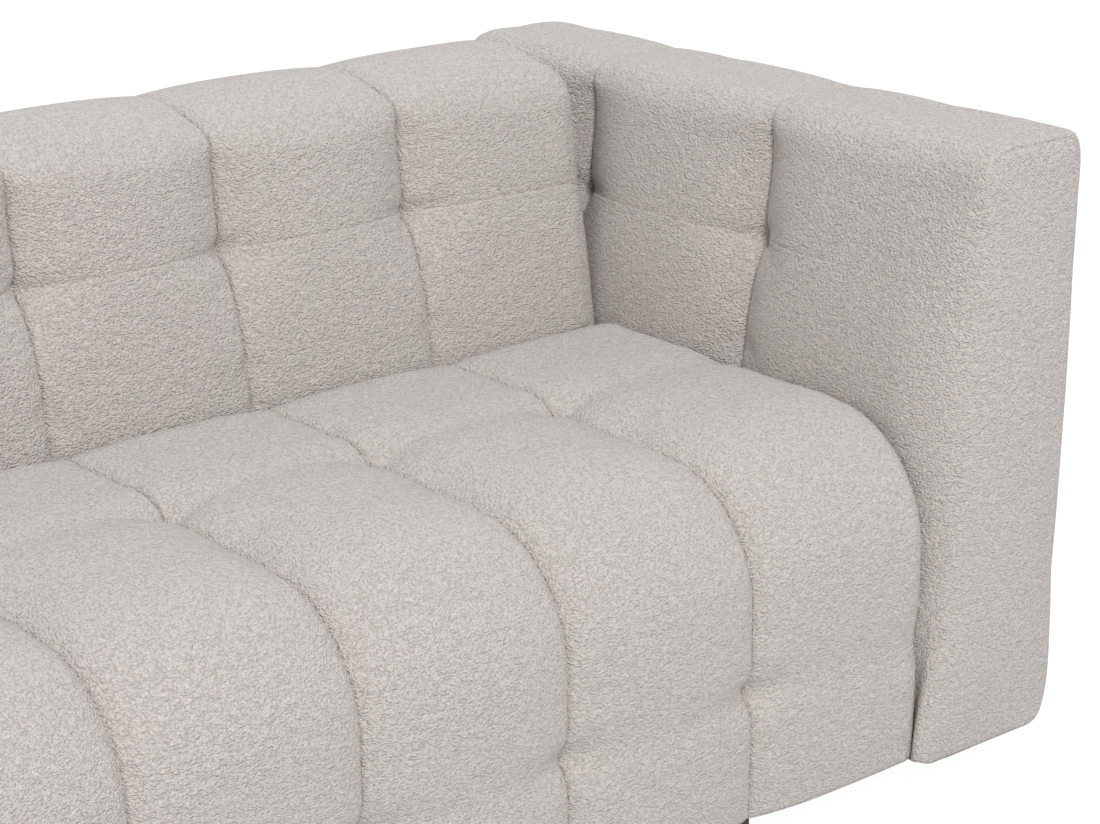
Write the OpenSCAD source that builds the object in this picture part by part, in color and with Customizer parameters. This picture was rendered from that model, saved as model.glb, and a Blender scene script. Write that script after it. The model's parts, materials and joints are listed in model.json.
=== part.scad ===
// Tuxedo sofa with a channel-tufted seat, back and arms, each a padded and covered
// module on its own timber frame. Millimetres. X runs along the sofa, the front
// faces -Y, and the floor is Z = 0. Lengths called d run back from the arms' front,
// and lengths called t run in from an arm's outer side.

/* [Overall] */
// Width over both arms
sofa_w = 2260; // [2130:10:2500]
// Depth from the arms' front to the outside back
sofa_d = 906; // [896:2:960]
// Height of the arms above the floor
arm_h = 742; // [732:5:780]
// Height of the back above the floor
back_h = 748; // [735:1:790]
// Height of the seat's crown above the floor
seat_h = 446; // [430:2:460]
// Height of the upholstery's lower edge above the floor
base_h = 37; // [32:1:50]
// Channels across the seat and the back
channels = 7; // [5:1:9]

/* [Seat] */
// Setback of the seat's front behind the arms' front
seat_setback = 17; // [8:1:24]
// Radius of the seat's front roll
seat_roll = 145; // [125:5:160]
// Depth of the seat's sewn tufts
seat_pinch = 28; // [18:1:30]
// Depth of the cross seam between two tufts of the seat
seat_line = 4; // [2:0.5:6]
// Height of the front row of tufts above the floor
seat_tuft_h = 189; // [170:1:210]
// Place of the top row of tufts, as a share of the way from the arms' front to the back
seat_tuft_share = 0.617; // [0.56:0.001:0.66]
// Thickness of the foam lip over the front rail
seat_lip = 35; // [25:1:40]

/* [Back] */
// Thickness of the back at the seat
back_base_t = 342; // [331:1:356]
// Lean of the back's face between the seat and its top roll
back_lean = 45; // [30:1:55]
// Fall of the back's top towards the rear
back_fall = 8; // [0:1:12]
// Radius of the rolls at the ends of the back's top
back_end_roll = 34; // [30:1:46]
// Drop of those rolls
back_end_drop = 27; // [22:1:34]
// Radius of the roll along the back's top front edge
back_roll = 45; // [35:1:50]
// Radius of the roll along the back's top rear edge
back_rear_roll = 45; // [35:1:50]
// Depth of the back's sewn tufts
back_pinch = 39; // [25:1:40]
// Depth of the cross seam between two tufts of the back
back_line = 5; // [2:0.5:7]
// Distance of the back's row of tufts below its top
back_tuft_drop = 138; // [123:1:158]
// Thickness of the back foam at the tufts
back_foam_t = 78; // [60:1:90]
// Distance of the ledge that carries the back foam below the seat's crown
back_ledge_drop = 46; // [41:1:76]
// Thickness of the outside back panel
outside_back_t = 8; // [6:0.5:10]
// Distance of the outside back panel's top edge below the back's top
outside_back_drop = 103; // [88:1:148]

/* [Arms] */
// Width of an arm at the seat
arm_w = 217; // [209:1:229]
// Width of an arm under its top inner roll
arm_top_w = 178; // [169:1:189]
// Distance below an arm's top at which it starts to narrow
arm_knee_drop = 292; // [272:1:312]
// Radius of an arm's top inner roll
arm_roll_in = 45; // [35:1:50]
// Radius of an arm's top outer roll
arm_roll_out = 22; // [15:1:28]
// Radius of the rolls down an arm's outer front and rear edges
arm_edge_roll = 36; // [28:1:44]
// Draw of those outer rolls towards the middle of the arm
arm_edge_draw = 31; // [26:1:33]
// Radius of the rolls down an arm's inner front and rear edges
arm_inner_roll = 84; // [70:1:100]
// Draw of those inner rolls towards the middle of the arm
arm_inner_draw = 50; // [40:1:56]
// Drop of the roll along an arm's top front and rear edges
arm_end_drop = 14; // [8:1:18]
// Depth of the sewn tufts on an arm's inner side
arm_pinch = 55; // [40:1:56]
// Depth of the sewn tufts on an arm's outer side
arm_side_pinch = 18; // [10:1:20]
// Depth of the seams across an arm's top
arm_top_sink = 10; // [6:1:12]
// Depth of the level seams round an arm
arm_line = 5; // [2:0.5:7]
// Distance of an arm's upper level seam below its top
arm_tuft_drop = 157; // [142:1:172]
// Height of an arm's lower level seam
arm_low_line_h = 225; // [200:1:260]
// Distance from the arm's front to its first upright seam
arm_seam_1_d = 346; // [320:1:375]
// Distance from the arm's rear to its second upright seam
arm_seam_2_rear = 248; // [221:1:276]
// Tuck of an arm's sides at the lower edge
arm_tuck = 8; // [2:1:10]
// Thickness of the foam round the arm frame
arm_pad = 20; // [14:1:22]
// Thickness of the foam on the arm frame's front
arm_front_pad = 40; // [25:1:50]

/* [Covers] */
// Thickness of a cover with its wadding, at a tuft
cover_t = 12; // [8:1:13]
// Radius of the rolls at the ends of the seat and the back
end_roll = 24; // [18:1:30]
// Draw of those rolls towards the middle of the section
end_draw = 19; // [14:1:22]
// Thickness of a dust cover
dust_cover_t = 1; // [0.6:0.1:2]
// Distance from a frame's edge to its dust cover
hem_w = 5; // [3:1:8]

/* [Frame] */
// Thickness of the solid timber rails
rail_t = 25; // [20:1:30]
// Height of the seat rails
rail_h = 160; // [140:5:170]
// Height of the seat stretchers and of the back's base rails
low_rail_h = 90; // [70:5:110]
// Thickness of the plywood boards
board_t = 18; // [15:1:21]
// Thickness of the hardboard panels in the arms
panel_t = 4; // [3:0.5:6]
// Side of the blocks that the feet are screwed to
block_w = 80; // [76:1:90]
// Height of the corner and foot blocks
block_h = 40; // [36:1:50]
// Distance from the middle of the sofa to a stretcher or a rib
rib_x = 300; // [260:5:330]

/* [Springing] */
// Springs under each channel
springs_per_channel = 2; // [1:1:2]
// Thickness of the spring wire
wire_t = 3.6; // [3:0.1:4]
// Width of a zigzag spring
spring_w = 52; // [46:1:60]
// Bars in a zigzag spring
spring_bars = 14; // [12:1:16]
// Thickness of the spring clips
clip_t = 1.6; // [1.2:0.1:2]
// Width of a spring clip
clip_w = 12; // [8:1:14]
// Length of a spring clip on its rail
clip_l = 20; // [16:1:22]
// Thickness of the tie wires
tie_wire_t = 3; // [2:0.1:3.4]
// Thickness of the felt pad on the springs
deck_t = 5; // [3:0.5:8]
// Width of a back strap
strap_w = 50; // [40:1:60]
// Thickness of a back strap
strap_t = 2; // [1.5:0.1:3]
// Thickness of the tufting twine
twine_t = 3; // [2:0.1:4]
// Diameter of a tuft washer
washer_w = 22; // [16:1:30]
// Thickness of a tuft washer
washer_t = 2; // [1.5:0.1:2.4]

/* [Feet and fixings] */
// Side of a foot
foot_w = 60; // [50:1:66]
// Chamfer of a foot's corners
foot_chamfer = 8; // [4:1:12]
// Distance from an arm's front or rear end to the middle of its foot
arm_foot_d = 84; // [74:1:96]
// Distance from the arms' front to the middle of a seat foot
seat_foot_d = 105; // [100:1:110]
// Distance from an arm's outer side to the middle of a seat or back foot
foot_in = 455; // [440:5:490]
// Diameter of the felt glide under a foot
glide_w = 40; // [34:1:44]
// Thickness of a glide
glide_t = 3; // [2:0.5:4]
// Diameter of the foot screws
foot_screw_w = 6; // [5:0.5:7]
// Length of a foot screw in the timber
foot_screw_bite = 30; // [24:1:32]
// Thickness of the joining plates
plate_t = 3; // [2:0.5:4]
// Width of a joining plate
plate_w = 40; // [30:1:50]
// Diameter of the plate screws
plate_screw_w = 4; // [3:0.5:5]
// Length of a plate screw in the timber
plate_screw_bite = 14; // [10:1:16]

/* [Hidden] */

// Gap between neighbours that don't touch face to face
clear = 0.3;
// Overrun of a cut past the face that it opens
over = 1;
// Facets of a bore or a round piece, which are exact curves
round_facets = 32;

boucle = [0.79, 0.77, 0.74];
foam_tone = [0.94, 0.88, 0.62];
timber_tone = [0.80, 0.66, 0.46];
ply_tone = [0.86, 0.74, 0.55];
board_tone = [0.55, 0.42, 0.30];
felt_tone = [0.62, 0.62, 0.60];
cloth_tone = [0.12, 0.12, 0.13];
steel_tone = [0.68, 0.69, 0.71];
strap_tone = [0.25, 0.25, 0.27];
twine_tone = [0.90, 0.86, 0.76];
plastic_tone = [0.06, 0.06, 0.07];

half_w = sofa_w / 2;
front_y = -sofa_d / 2;
// Places that follow the overall sizes
back_d = sofa_d - back_base_t;
seat_tuft_d = back_d * seat_tuft_share;
back_tuft_h = back_h - back_tuft_drop;
back_ledge_h = seat_h - back_ledge_drop;
outside_back_h = back_h - outside_back_drop;
arm_knee_h = arm_h - arm_knee_drop;
arm_tuft_h = arm_h - arm_tuft_drop;
arm_seam_2_d = sofa_d - arm_seam_2_rear;
foot_x = half_w - foot_in;
// Half the length of the seat and of the back, between the arms
bench_half = half_w - arm_w - clear;
pitch = 2 * bench_half / channels;
// Half the length of the frames inside the seat and the back covers
frame_half = bench_half - cover_t - clear;

// Small linear helpers
function lerp(a, b, share) = a + (b - a) * share;
function unit(v) = v / norm(v);
function last(list) = list[len(list) - 1];
function rise(rows) = max([for (r = rows) r[1]]) - rows[0][1];

// A row of a tufted skin is [d or t, z, sink at an upright seam, sink of the level seam, share of
// the side inset that it takes, which is all of it where none is given].
// A column is [position, arch from 0 at a seam to 1 between seams, low side inset, top drop, far side inset].
function row_side(rows, i) =
    i == 0 ? [-1, 0] :
    i == len(rows) - 1 ? [1, 0] :
    unit([rows[i - 1][1] - rows[i + 1][1], rows[i + 1][0] - rows[i - 1][0]]);
function skin_point(rows, i, col) =
    let (
        side = row_side(rows, i),
        sink = lerp(rows[i][2], rows[i][3], col[1]),
        at = [rows[i][0], rows[i][1]] - sink * side,
        mid = (rows[0][0] + last(rows)[0]) / 2,
        reach = (last(rows)[0] - rows[0][0]) / 2,
        low = rows[0][1],
        taken = len(rows[i]) > 4 ? rows[i][4] : 1,
        inset = taken * (at[0] < mid ? col[2] : col[4])
    )
    [mid + (at[0] - mid) * (1 - inset / reach), low + (at[1] - low) * (1 - col[3] / rise(rows))];

// Puts a section point where it belongs: across the sofa, or along the right arm
function placed(along_arm, at, position) =
    along_arm ? [half_w - at[0], front_y + position, at[1]] : [position, front_y + at[0], at[1]];

// A padded cover: a tufted outer skin round a plain cavity that is open underneath
module tufted_cover(rows, cols, cavity, ends, along_arm) {
    n = len(rows);
    m = len(cols);
    k = len(cavity);
    first_inner = n * m;
    points = concat(
        [for (i = [0:n - 1]) for (col = cols) placed(along_arm, skin_point(rows, i, col), col[0])],
        [for (at = cavity) for (end = ends) placed(along_arm, at, end)]);
    skin = [for (i = [0:n - 2]) for (j = [0:m - 2])
        let (a = i * m + j, b = a + m)
        each ((i + j) % 2 == 0 ? [[a, b, b + 1], [a, b + 1, a + 1]] : [[a, b, a + 1], [b, b + 1, a + 1]])];
    caps = [[for (i = [n - 1:-1:0]) i * m], [for (i = [0:n - 1]) i * m + m - 1]];
    walls = [for (i = [0:k - 2]) let (a = first_inner + 2 * i) [a, a + 1, a + 3, a + 2]];
    wall_ends = [[for (i = [0:k - 1]) first_inner + 2 * i], [for (i = [k - 1:-1:0]) first_inner + 2 * i + 1]];
    far = first_inner + 2 * (k - 1);
    rim = [
        concat([for (j = [0:m - 1]) j], [first_inner + 1, first_inner]),
        concat([for (j = [m - 1:-1:0]) (n - 1) * m + j], [far, far + 1]),
        [0, first_inner, far, (n - 1) * m],
        [m - 1, n * m - 1, far + 1, first_inner + 1]];
    polyhedron(points = points, faces = concat(skin, caps, walls, wall_ends, rim), convexity = 10);
}

// The roll at the end of a skin: how far it draws in at a distance from the end
function drawn_in(from_end, radius, depth) =
    from_end >= radius ? 0 : depth * (1 - sqrt(1 - pow(1 - from_end / radius, 2)));
roll_shares = [0, 0.05, 0.2, 0.5, 1];
roll_shares_back = [1, 0.5, 0.2, 0.05, 0];
channel_shares = [0, 0.06, 0.2, 0.5, 0.8, 0.94];

// The pillow's rise across a channel, and the least rise at the outer ends
pillow_power = 2.4;
function arch(share) = sqrt(max(0, 1 - pow(abs(2 * share - 1), pillow_power)));
end_arch_share = 0.8;
function bench_arch(x) =
    let (
        place = (x + bench_half) / pitch,
        rise_here = arch(place - floor(place)),
        outer = place < 1 / 2 || place > channels - 1 / 2
    )
    outer ? lerp(end_arch_share, 1, rise_here) : rise_here;
function bench_cols(top_roll, top_drop) =
    let (spots = concat(
        [for (s = roll_shares) s * end_roll - bench_half],
        top_roll > end_roll ? [(top_roll + end_roll) / 2 - bench_half, top_roll - bench_half] : [],
        [for (c = [0:channels - 1]) for (s = channel_shares)
            let (x = (c + s) * pitch - bench_half) if (abs(x) < bench_half - top_roll - clear) x],
        top_roll > end_roll ? [bench_half - top_roll, bench_half - (top_roll + end_roll) / 2] : [],
        [for (s = roll_shares_back) bench_half - s * end_roll]))
    [for (x = spots)
        let (from_end = bench_half - abs(x), drawn = drawn_in(from_end, end_roll, end_draw))
        [x, bench_arch(x), drawn, drawn_in(from_end, top_roll, top_drop), drawn]];
seam_xs = [for (c = [1:channels - 1]) c * pitch - bench_half];

// Seat: front face, front roll, top and rear edge
seat_rear_d = back_d - clear;
seat_rear_roll = end_roll / 2;
seat_arc_d = seat_setback + seat_roll;
seat_arc_z = seat_h - seat_roll;
seat_front_shares = [[0, 0.5], [0.55, 0.5], [0.85, 0.58]];
seat_upper_shares = [[0.2, 0.62], [0.6, 0.54], [1, 0.6]];
seat_roll_shares = [[0.2, 0.75], [0.4, 0.9], [0.6, 0.96], [0.8, 1], [1, 1]];
seat_top_shares = [[0.45, 0.95], [0.85, 0.92]];
seat_rear_shares = [[0.16, 0.45], [0.45, 0.3], [1, 0.32]];
seat_rows = concat(
    [for (s = seat_front_shares) [seat_setback, lerp(base_h, seat_tuft_h, s[0]), s[1] * seat_pinch, 0]],
    [[seat_setback, seat_tuft_h, seat_pinch, seat_line]],
    [for (s = seat_upper_shares) [seat_setback, lerp(seat_tuft_h, seat_arc_z, s[0]), s[1] * seat_pinch, 0]],
    [for (s = seat_roll_shares)
        [seat_arc_d - seat_roll * cos(90 * s[0]), seat_arc_z + seat_roll * sin(90 * s[0]),
            s[1] * seat_pinch, 0]],
    [for (s = seat_top_shares) [lerp(seat_arc_d, seat_tuft_d, s[0]), seat_h, s[1] * seat_pinch, 0]],
    [[seat_tuft_d, seat_h, seat_pinch, seat_line]],
    [for (s = seat_rear_shares)
        [lerp(seat_tuft_d, seat_rear_d - seat_rear_roll, s[0]), seat_h, s[1] * seat_pinch, 0]],
    [[seat_rear_d, seat_h - seat_rear_roll, 0, 0], [seat_rear_d, base_h, 0, 0]]);

// The inside of the seat cover, drawn in by an inset
seat_core_roll = seat_roll - seat_pinch - cover_t;
seat_core_rear_d = seat_rear_d - cover_t;
seat_core_shares = [0, 0.2, 0.4, 0.6, 0.8, 1];
function seat_core(inset) = concat(
    [[seat_arc_d - seat_core_roll + inset, base_h]],
    [for (s = seat_core_shares)
        [seat_arc_d - (seat_core_roll - inset) * cos(90 * s),
            seat_arc_z + (seat_core_roll - inset) * sin(90 * s)]],
    [[seat_core_rear_d - inset, seat_arc_z + seat_core_roll - inset], [seat_core_rear_d - inset, base_h]]);
core_half = bench_half - cover_t;

// Back: hidden front below the seat, leaning face, rolls, and the recess for the outside back
back_face_z = seat_h - back_line - cover_t;
back_roll_z = back_h - back_roll;
back_roll_d = back_d + back_lean + back_roll;
back_rear_d = sofa_d - outside_back_t - 2 * clear;
function back_face_d(z) = back_d + back_lean * (z - back_face_z) / (back_roll_z - back_face_z);
back_low_shares = [[0, 0.15], [0.2, 0.15], [0.45, 0.16], [0.72, 0.4], [0.88, 0.72]];
back_high_shares = [[0.2, 0.88], [0.5, 0.84], [1, 0.77]];
back_roll_shares = [[0.33, 0.66], [0.66, 0.44], [1, 0.28]];
back_top_shares = [[0.35, 0.22], [0.7, 0.2], [1, 0.2]];
back_rear_shares = [[0.33, 0.2], [0.66, 0.2], [1, 0.2]];
back_rows = concat(
    [[back_d, base_h, 0, 0], [back_d, back_face_z - cover_t, 0, 0]],
    [for (s = back_low_shares)
        let (z = lerp(back_face_z, back_tuft_h, s[0])) [back_face_d(z), z, s[1] * back_pinch, 0]],
    [[back_face_d(back_tuft_h), back_tuft_h, back_pinch, back_line]],
    [for (s = back_high_shares)
        let (z = lerp(back_tuft_h, back_roll_z, s[0])) [back_face_d(z), z, s[1] * back_pinch, 0]],
    [for (s = back_roll_shares)
        [back_roll_d - back_roll * cos(90 * s[0]), back_roll_z + back_roll * sin(90 * s[0]),
            s[1] * back_pinch, 0]],
    [for (s = back_top_shares)
        [lerp(back_roll_d, sofa_d - back_rear_roll, s[0]), back_h - back_fall * s[0], s[1] * back_pinch, 0]],
    [for (s = back_rear_shares)
        [sofa_d - back_rear_roll * (1 - sin(90 * s[0])),
            back_h - back_fall - back_rear_roll * (1 - cos(90 * s[0])),
            s[1] * back_pinch, 0]],
    [[sofa_d, outside_back_h + outside_back_t, 0, 0], [back_rear_d, outside_back_h, 0, 0],
        [back_rear_d, base_h, 0, 0]]);

// The inside of the back cover, drawn in by an inset
back_core_top = back_h - back_pinch * 0.28 - cover_t;
back_core_front = back_d + cover_t;
back_core_tuft_d = back_face_d(back_tuft_h) + back_pinch + cover_t;
back_core_high_d = back_face_d(back_roll_z) + back_pinch * 0.84 + cover_t;
back_core_bend_z = lerp(back_face_z, back_tuft_h, 0.4);
back_core_bend_d = back_face_d(back_core_bend_z) + back_pinch * 0.16 + cover_t;
function back_core(inset) = [
    [back_core_front + inset, base_h],
    [back_core_front + inset, back_face_z - cover_t],
    [back_core_bend_d + inset, back_core_bend_z],
    [back_core_tuft_d + inset, back_tuft_h],
    [back_core_high_d + inset, back_roll_z],
    [back_roll_d + inset, back_core_top - inset],
    [sofa_d - back_rear_roll - inset, back_core_top - back_fall - inset],
    [back_rear_d - cover_t - inset, back_h - back_fall - back_rear_roll - cover_t],
    [back_rear_d - cover_t - inset, base_h]];

// Arms: outer side, top and inner side of the right arm
arm_top_z = arm_h - arm_roll_in;
arm_taper_power = 1.6;
function arm_inner_t(z) =
    let (above = max(0, z - arm_knee_h) / (arm_top_z - arm_knee_h))
    arm_w - 2 * clear - (arm_w - arm_top_w) * pow(above, arm_taper_power);
side_low_shares = [[0.45, 0.5], [0.85, 0.7]];
side_mid_shares = [[0.1, 0.7], [0.35, 0.5], [0.65, 0.5], [0.9, 0.7]];
side_high_shares = [[0.25, 0.65], [0.6, 0.5], [1, 0.5]];
out_roll_shares = [0.33, 0.66, 1];
in_roll_shares = [[0, 0.18], [0.25, 0.24], [0.5, 0.36], [0.75, 0.5], [1, 0.6]];
inner_high_shares = [[0.35, 0.68], [0.65, 0.74], [0.88, 0.86]];
inner_low_shares = [[0.14, 0.82], [0.35, 0.64], [0.65, 0.55], [1, 0.5]];
inner_base_shares = [[0.12, 0.3, 1], [0.5, 0.1, 0.9], [0.85, 0.1, 0.7], [1, 0.1, 0.45]];
arm_rows = concat(
    [[arm_tuck, base_h, arm_side_pinch / 3, 0]],
    [for (s = side_low_shares)
        [arm_tuck * (1 - s[0]), lerp(base_h, arm_low_line_h, s[0]), s[1] * arm_side_pinch, 0]],
    [[0, arm_low_line_h, arm_side_pinch, arm_line]],
    [for (s = side_mid_shares) [0, lerp(arm_low_line_h, arm_tuft_h, s[0]), s[1] * arm_side_pinch, 0]],
    [[0, arm_tuft_h, arm_side_pinch, arm_line]],
    [for (s = side_high_shares) [0, lerp(arm_tuft_h, arm_h - arm_roll_out, s[0]), s[1] * arm_side_pinch, 0]],
    [for (s = out_roll_shares)
        [arm_roll_out * (1 - cos(90 * s)), arm_h - arm_roll_out * (1 - sin(90 * s)), arm_top_sink, 0]],
    [for (s = in_roll_shares)
        [arm_top_w - arm_roll_in * (1 - sin(90 * s[0])), arm_h - arm_roll_in * (1 - cos(90 * s[0])),
            s[1] * arm_pinch, 0]],
    [for (s = inner_high_shares)
        let (z = lerp(arm_top_z, arm_tuft_h, s[0])) [arm_inner_t(z), z, s[1] * arm_pinch, 0]],
    [[arm_inner_t(arm_tuft_h), arm_tuft_h, arm_pinch, arm_line]],
    [for (s = inner_low_shares)
        let (z = lerp(arm_tuft_h, arm_knee_h, s[0])) [arm_inner_t(z), z, s[1] * arm_pinch, 0]],
    [for (s = inner_base_shares)
        [arm_w - 2 * clear, lerp(arm_knee_h, base_h, s[0]), s[1] * arm_pinch, 0, s[2]]]);

function arm_arch(d) =
    d < arm_seam_1_d ? arch(min(1 / 2, (arm_seam_1_d - d) / pitch)) :
    d < arm_seam_2_d ? arch((d - arm_seam_1_d) / (arm_seam_2_d - arm_seam_1_d)) :
    arch(min(1 / 2, (d - arm_seam_2_d) / pitch));
arm_first_shares = [0.2, 0.45, 0.75, 0.93];
arm_last_shares = [0, 0.07, 0.25, 0.55, 0.8];
arm_spots = concat(
    [for (s = roll_shares) s * arm_edge_roll],
    [(arm_edge_roll + arm_inner_roll) / 2],
    [for (s = arm_first_shares) lerp(arm_inner_roll, arm_seam_1_d, s)],
    [for (s = channel_shares) lerp(arm_seam_1_d, arm_seam_2_d, s)],
    [for (s = arm_last_shares) lerp(arm_seam_2_d, sofa_d - arm_inner_roll, s)],
    [sofa_d - (arm_edge_roll + arm_inner_roll) / 2],
    [for (s = roll_shares_back) sofa_d - s * arm_edge_roll]);
arm_cols = [for (d = arm_spots)
    let (from_end = min(d, sofa_d - d))
    [d, arm_arch(d), drawn_in(from_end, arm_edge_roll, arm_edge_draw),
        drawn_in(from_end, arm_end_drop, arm_end_drop), drawn_in(from_end, arm_inner_roll, arm_inner_draw)]];

// The inside of an arm cover, drawn in by an inset, and cut off at a height
arm_core_out = arm_side_pinch + cover_t;
arm_core_in = arm_w - 0.5 * arm_pinch - cover_t;
arm_core_top_in = arm_inner_t(arm_tuft_h) - arm_pinch - cover_t;
arm_core_top = arm_h - arm_top_sink - cover_t;
arm_core_cut = arm_roll_in / 2;
arm_core_knee_h = lerp(arm_knee_h, arm_tuft_h, 0.1);
function arm_core(inset, low) = [
    [arm_core_out + inset, low],
    [arm_core_out + inset, arm_core_top - inset],
    [arm_core_top_in - arm_core_cut - inset, arm_core_top - inset],
    [arm_core_top_in - inset, arm_core_top - arm_core_cut - inset],
    [arm_core_top_in - inset, arm_tuft_h],
    [arm_core_in - inset, arm_core_knee_h],
    [arm_core_in - inset, low]];
arm_end_wall = cover_t + 2;

module left_side() { mirror([1, 0, 0]) children(); }
// Extrudes a section of [d, z] points along X, between two places
module across(from, to) {
    translate([from, front_y, 0]) rotate([90, 0, 90]) linear_extrude(to - from, convexity = 6) children();
}
// Extrudes a section of [t, z] points along the right arm, between two distances
module along(from, to) {
    translate([half_w, front_y + from, 0]) mirror([1, 0, 0]) rotate([90, 0, 0])
        translate([0, 0, from - to]) linear_extrude(to - from, convexity = 6) children();
}
// A block between two corners, given as [x, d, z]
module block(low, high) {
    translate([low[0], front_y + low[1], low[2]]) cube(high - low);
}

// Seat module
seat_front_rail_d = seat_arc_d - seat_core_roll + clear + seat_lip;
seat_back_rail_d = seat_core_rear_d - clear - rail_t;
rail_top = base_h + rail_h;
deck_low = rail_top + clip_t + wire_t + 2 * clear;
deck_top = deck_low + deck_t;
spring_front_d = seat_front_rail_d + rail_t / 2;
spring_back_d = seat_back_rail_d + rail_t / 2;
spring_pitch = 2 * bench_half / (channels * springs_per_channel);
spring_xs = [for (k = [0:channels * springs_per_channel - 1]) (k + 1 / 2) * spring_pitch - bench_half];
twine_hole_w = twine_t + 2 * clear;
screw_hole_w = plate_screw_w + 2 * clear;

module seat_cover() {
    color(boucle) tufted_cover(
        seat_rows, bench_cols(end_roll, end_draw), seat_core(0), [-core_half, core_half], false);
}

module twine_upright(x, d, width, low, high) {
    translate([x, front_y + d, low]) cylinder(h = high - low, d = width, $fn = round_facets);
}
module twine_level(x, z, width, from, to) {
    translate([x, front_y + from, z])
        rotate([-90, 0, 0]) cylinder(h = to - from, d = width, $fn = round_facets);
}

module seat_foam() {
    color(foam_tone) difference() {
        across(-frame_half, frame_half) difference() {
            polygon(seat_core(clear));
            translate([seat_front_rail_d - clear, base_h - over])
                square([seat_core_rear_d, deck_top + clear - base_h + over]);
        }
        for (x = seam_xs) {
            twine_upright(x, seat_tuft_d, twine_hole_w, deck_top, seat_h);
            twine_level(x, seat_tuft_h, twine_hole_w, seat_setback, seat_front_rail_d);
        }
    }
}

// The felt pad lies on the springs, and is cut out over their clips
module seat_deck_pad() {
    clip_half = clip_reach + clip_t + clear;
    color(felt_tone) difference() {
        block([-frame_half, seat_front_rail_d, deck_low], [frame_half, seat_core_rear_d - clear, deck_top]);
        for (x = seam_xs) twine_upright(x, seat_tuft_d, twine_hole_w, deck_low - over, deck_top + over);
        for (x = spring_xs)
            for (d = [spring_front_d, spring_back_d])
                block([x - clip_w / 2 - clear, d - clip_half, deck_low - over],
                    [x + clip_w / 2 + clear, d + clip_half, rail_top + clip_rise + clear]);
    }
}

// One zigzag spring, flat in plan: bars across, joined by round bends
bend_shares = [-0.9, -0.3, 0.3, 0.9];
spring_step = (spring_back_d - spring_front_d) / (spring_bars - 1);
spring_end_hand = spring_bars % 2 == 0 ? -1 : 1;
function spring_side(side) = concat(
    [[-spring_w / 2 + spring_step / 2, side * wire_t / 2]],
    [for (k = [0:spring_bars - 2]) for (s = bend_shares)
        let (hand = k % 2 == 0 ? 1 : -1, radius = spring_step / 2 - hand * side * wire_t / 2)
        [hand * ((spring_w - spring_step) / 2 + radius * cos(90 * s)),
            (k + 1 / 2) * spring_step + radius * sin(90 * s)]],
    [[spring_end_hand * (spring_w - spring_step) / 2,
        (spring_bars - 1) * spring_step + spring_end_hand * side * wire_t / 2]]);
spring_left = spring_side(1);
spring_right = spring_side(-1);
spring_outline = concat(spring_left, [for (i = [len(spring_right) - 1:-1:0]) spring_right[i]]);

module seat_springs() {
    color(steel_tone) for (x = spring_xs)
        translate([x, front_y + spring_front_d, rail_top + clip_t + clear])
            linear_extrude(wire_t, convexity = 6) polygon(spring_outline);
}

// A clip is bent over the end bar of a spring, and opens towards the spring's outside
clip_reach = wire_t / 2 + clear;
clip_rise = 2 * clip_t + wire_t + 2 * clear;
clip_outline = [
    [-clip_l / 2, 0], [clip_reach + clip_t, 0], [clip_reach + clip_t, clip_rise], [-clip_reach, clip_rise],
    [-clip_reach, clip_rise - clip_t], [clip_reach, clip_rise - clip_t], [clip_reach, clip_t],
    [-clip_l / 2, clip_t]];
module clip(x, d) {
    translate([x - clip_w / 2, front_y + d, rail_top])
        rotate([90, 0, 90]) linear_extrude(clip_w) polygon(clip_outline);
}

module spring_clips() {
    color(steel_tone) for (x = spring_xs) {
        clip(x, spring_front_d);
        translate([2 * x, 2 * (front_y + spring_back_d), 0]) rotate([0, 0, 180]) clip(x, spring_back_d);
    }
}

tie_wire_shares = [0.35, 0.65];
module spring_tie_wires() {
    color(steel_tone) for (s = tie_wire_shares)
        translate([rail_t - frame_half, front_y + lerp(spring_front_d, spring_back_d, s),
            rail_top + clip_t - tie_wire_t / 2])
            rotate([0, 90, 0]) cylinder(h = 2 * (frame_half - rail_t), d = tie_wire_t, $fn = round_facets);
}

// Fixing places: [x, d] of each screw, by what it goes into
foot_screw_hole_w = foot_screw_w + 2 * clear;
module screw_bores(places, width, bite) {
    for (at = places)
        translate([at[0], front_y + at[1], base_h - over])
            cylinder(h = bite + 2 * clear + over, d = width, $fn = round_facets);
}

arm_foot_x = half_w - arm_w / 2;
back_foot_d = back_rear_d - cover_t - clear - rail_t - block_w / 2;
foot_places = [
    [-arm_foot_x, arm_foot_d], [arm_foot_x, arm_foot_d],
    [-arm_foot_x, sofa_d - arm_foot_d], [arm_foot_x, sofa_d - arm_foot_d],
    [-foot_x, seat_foot_d], [foot_x, seat_foot_d],
    [-foot_x, back_foot_d], [foot_x, back_foot_d]];

seat_rail_x = frame_half - rail_t / 2;
arm_edge_x = half_w - arm_core_in;
plate_bite_x = arm_edge_x + rail_t / 2 + clear;
back_front_rail_d = back_core_front + clear;
back_frame_rear_d = back_rear_d - cover_t - clear;
arm_plate_shares = [0.18, 0.82];
arm_plate_ds = concat(
    [for (s = arm_plate_shares) lerp(seat_front_rail_d, seat_back_rail_d, s)],
    [back_frame_rear_d - rail_t - block_w]);
back_plate_xs = [-foot_x / 2, 0, foot_x / 2];

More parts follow.
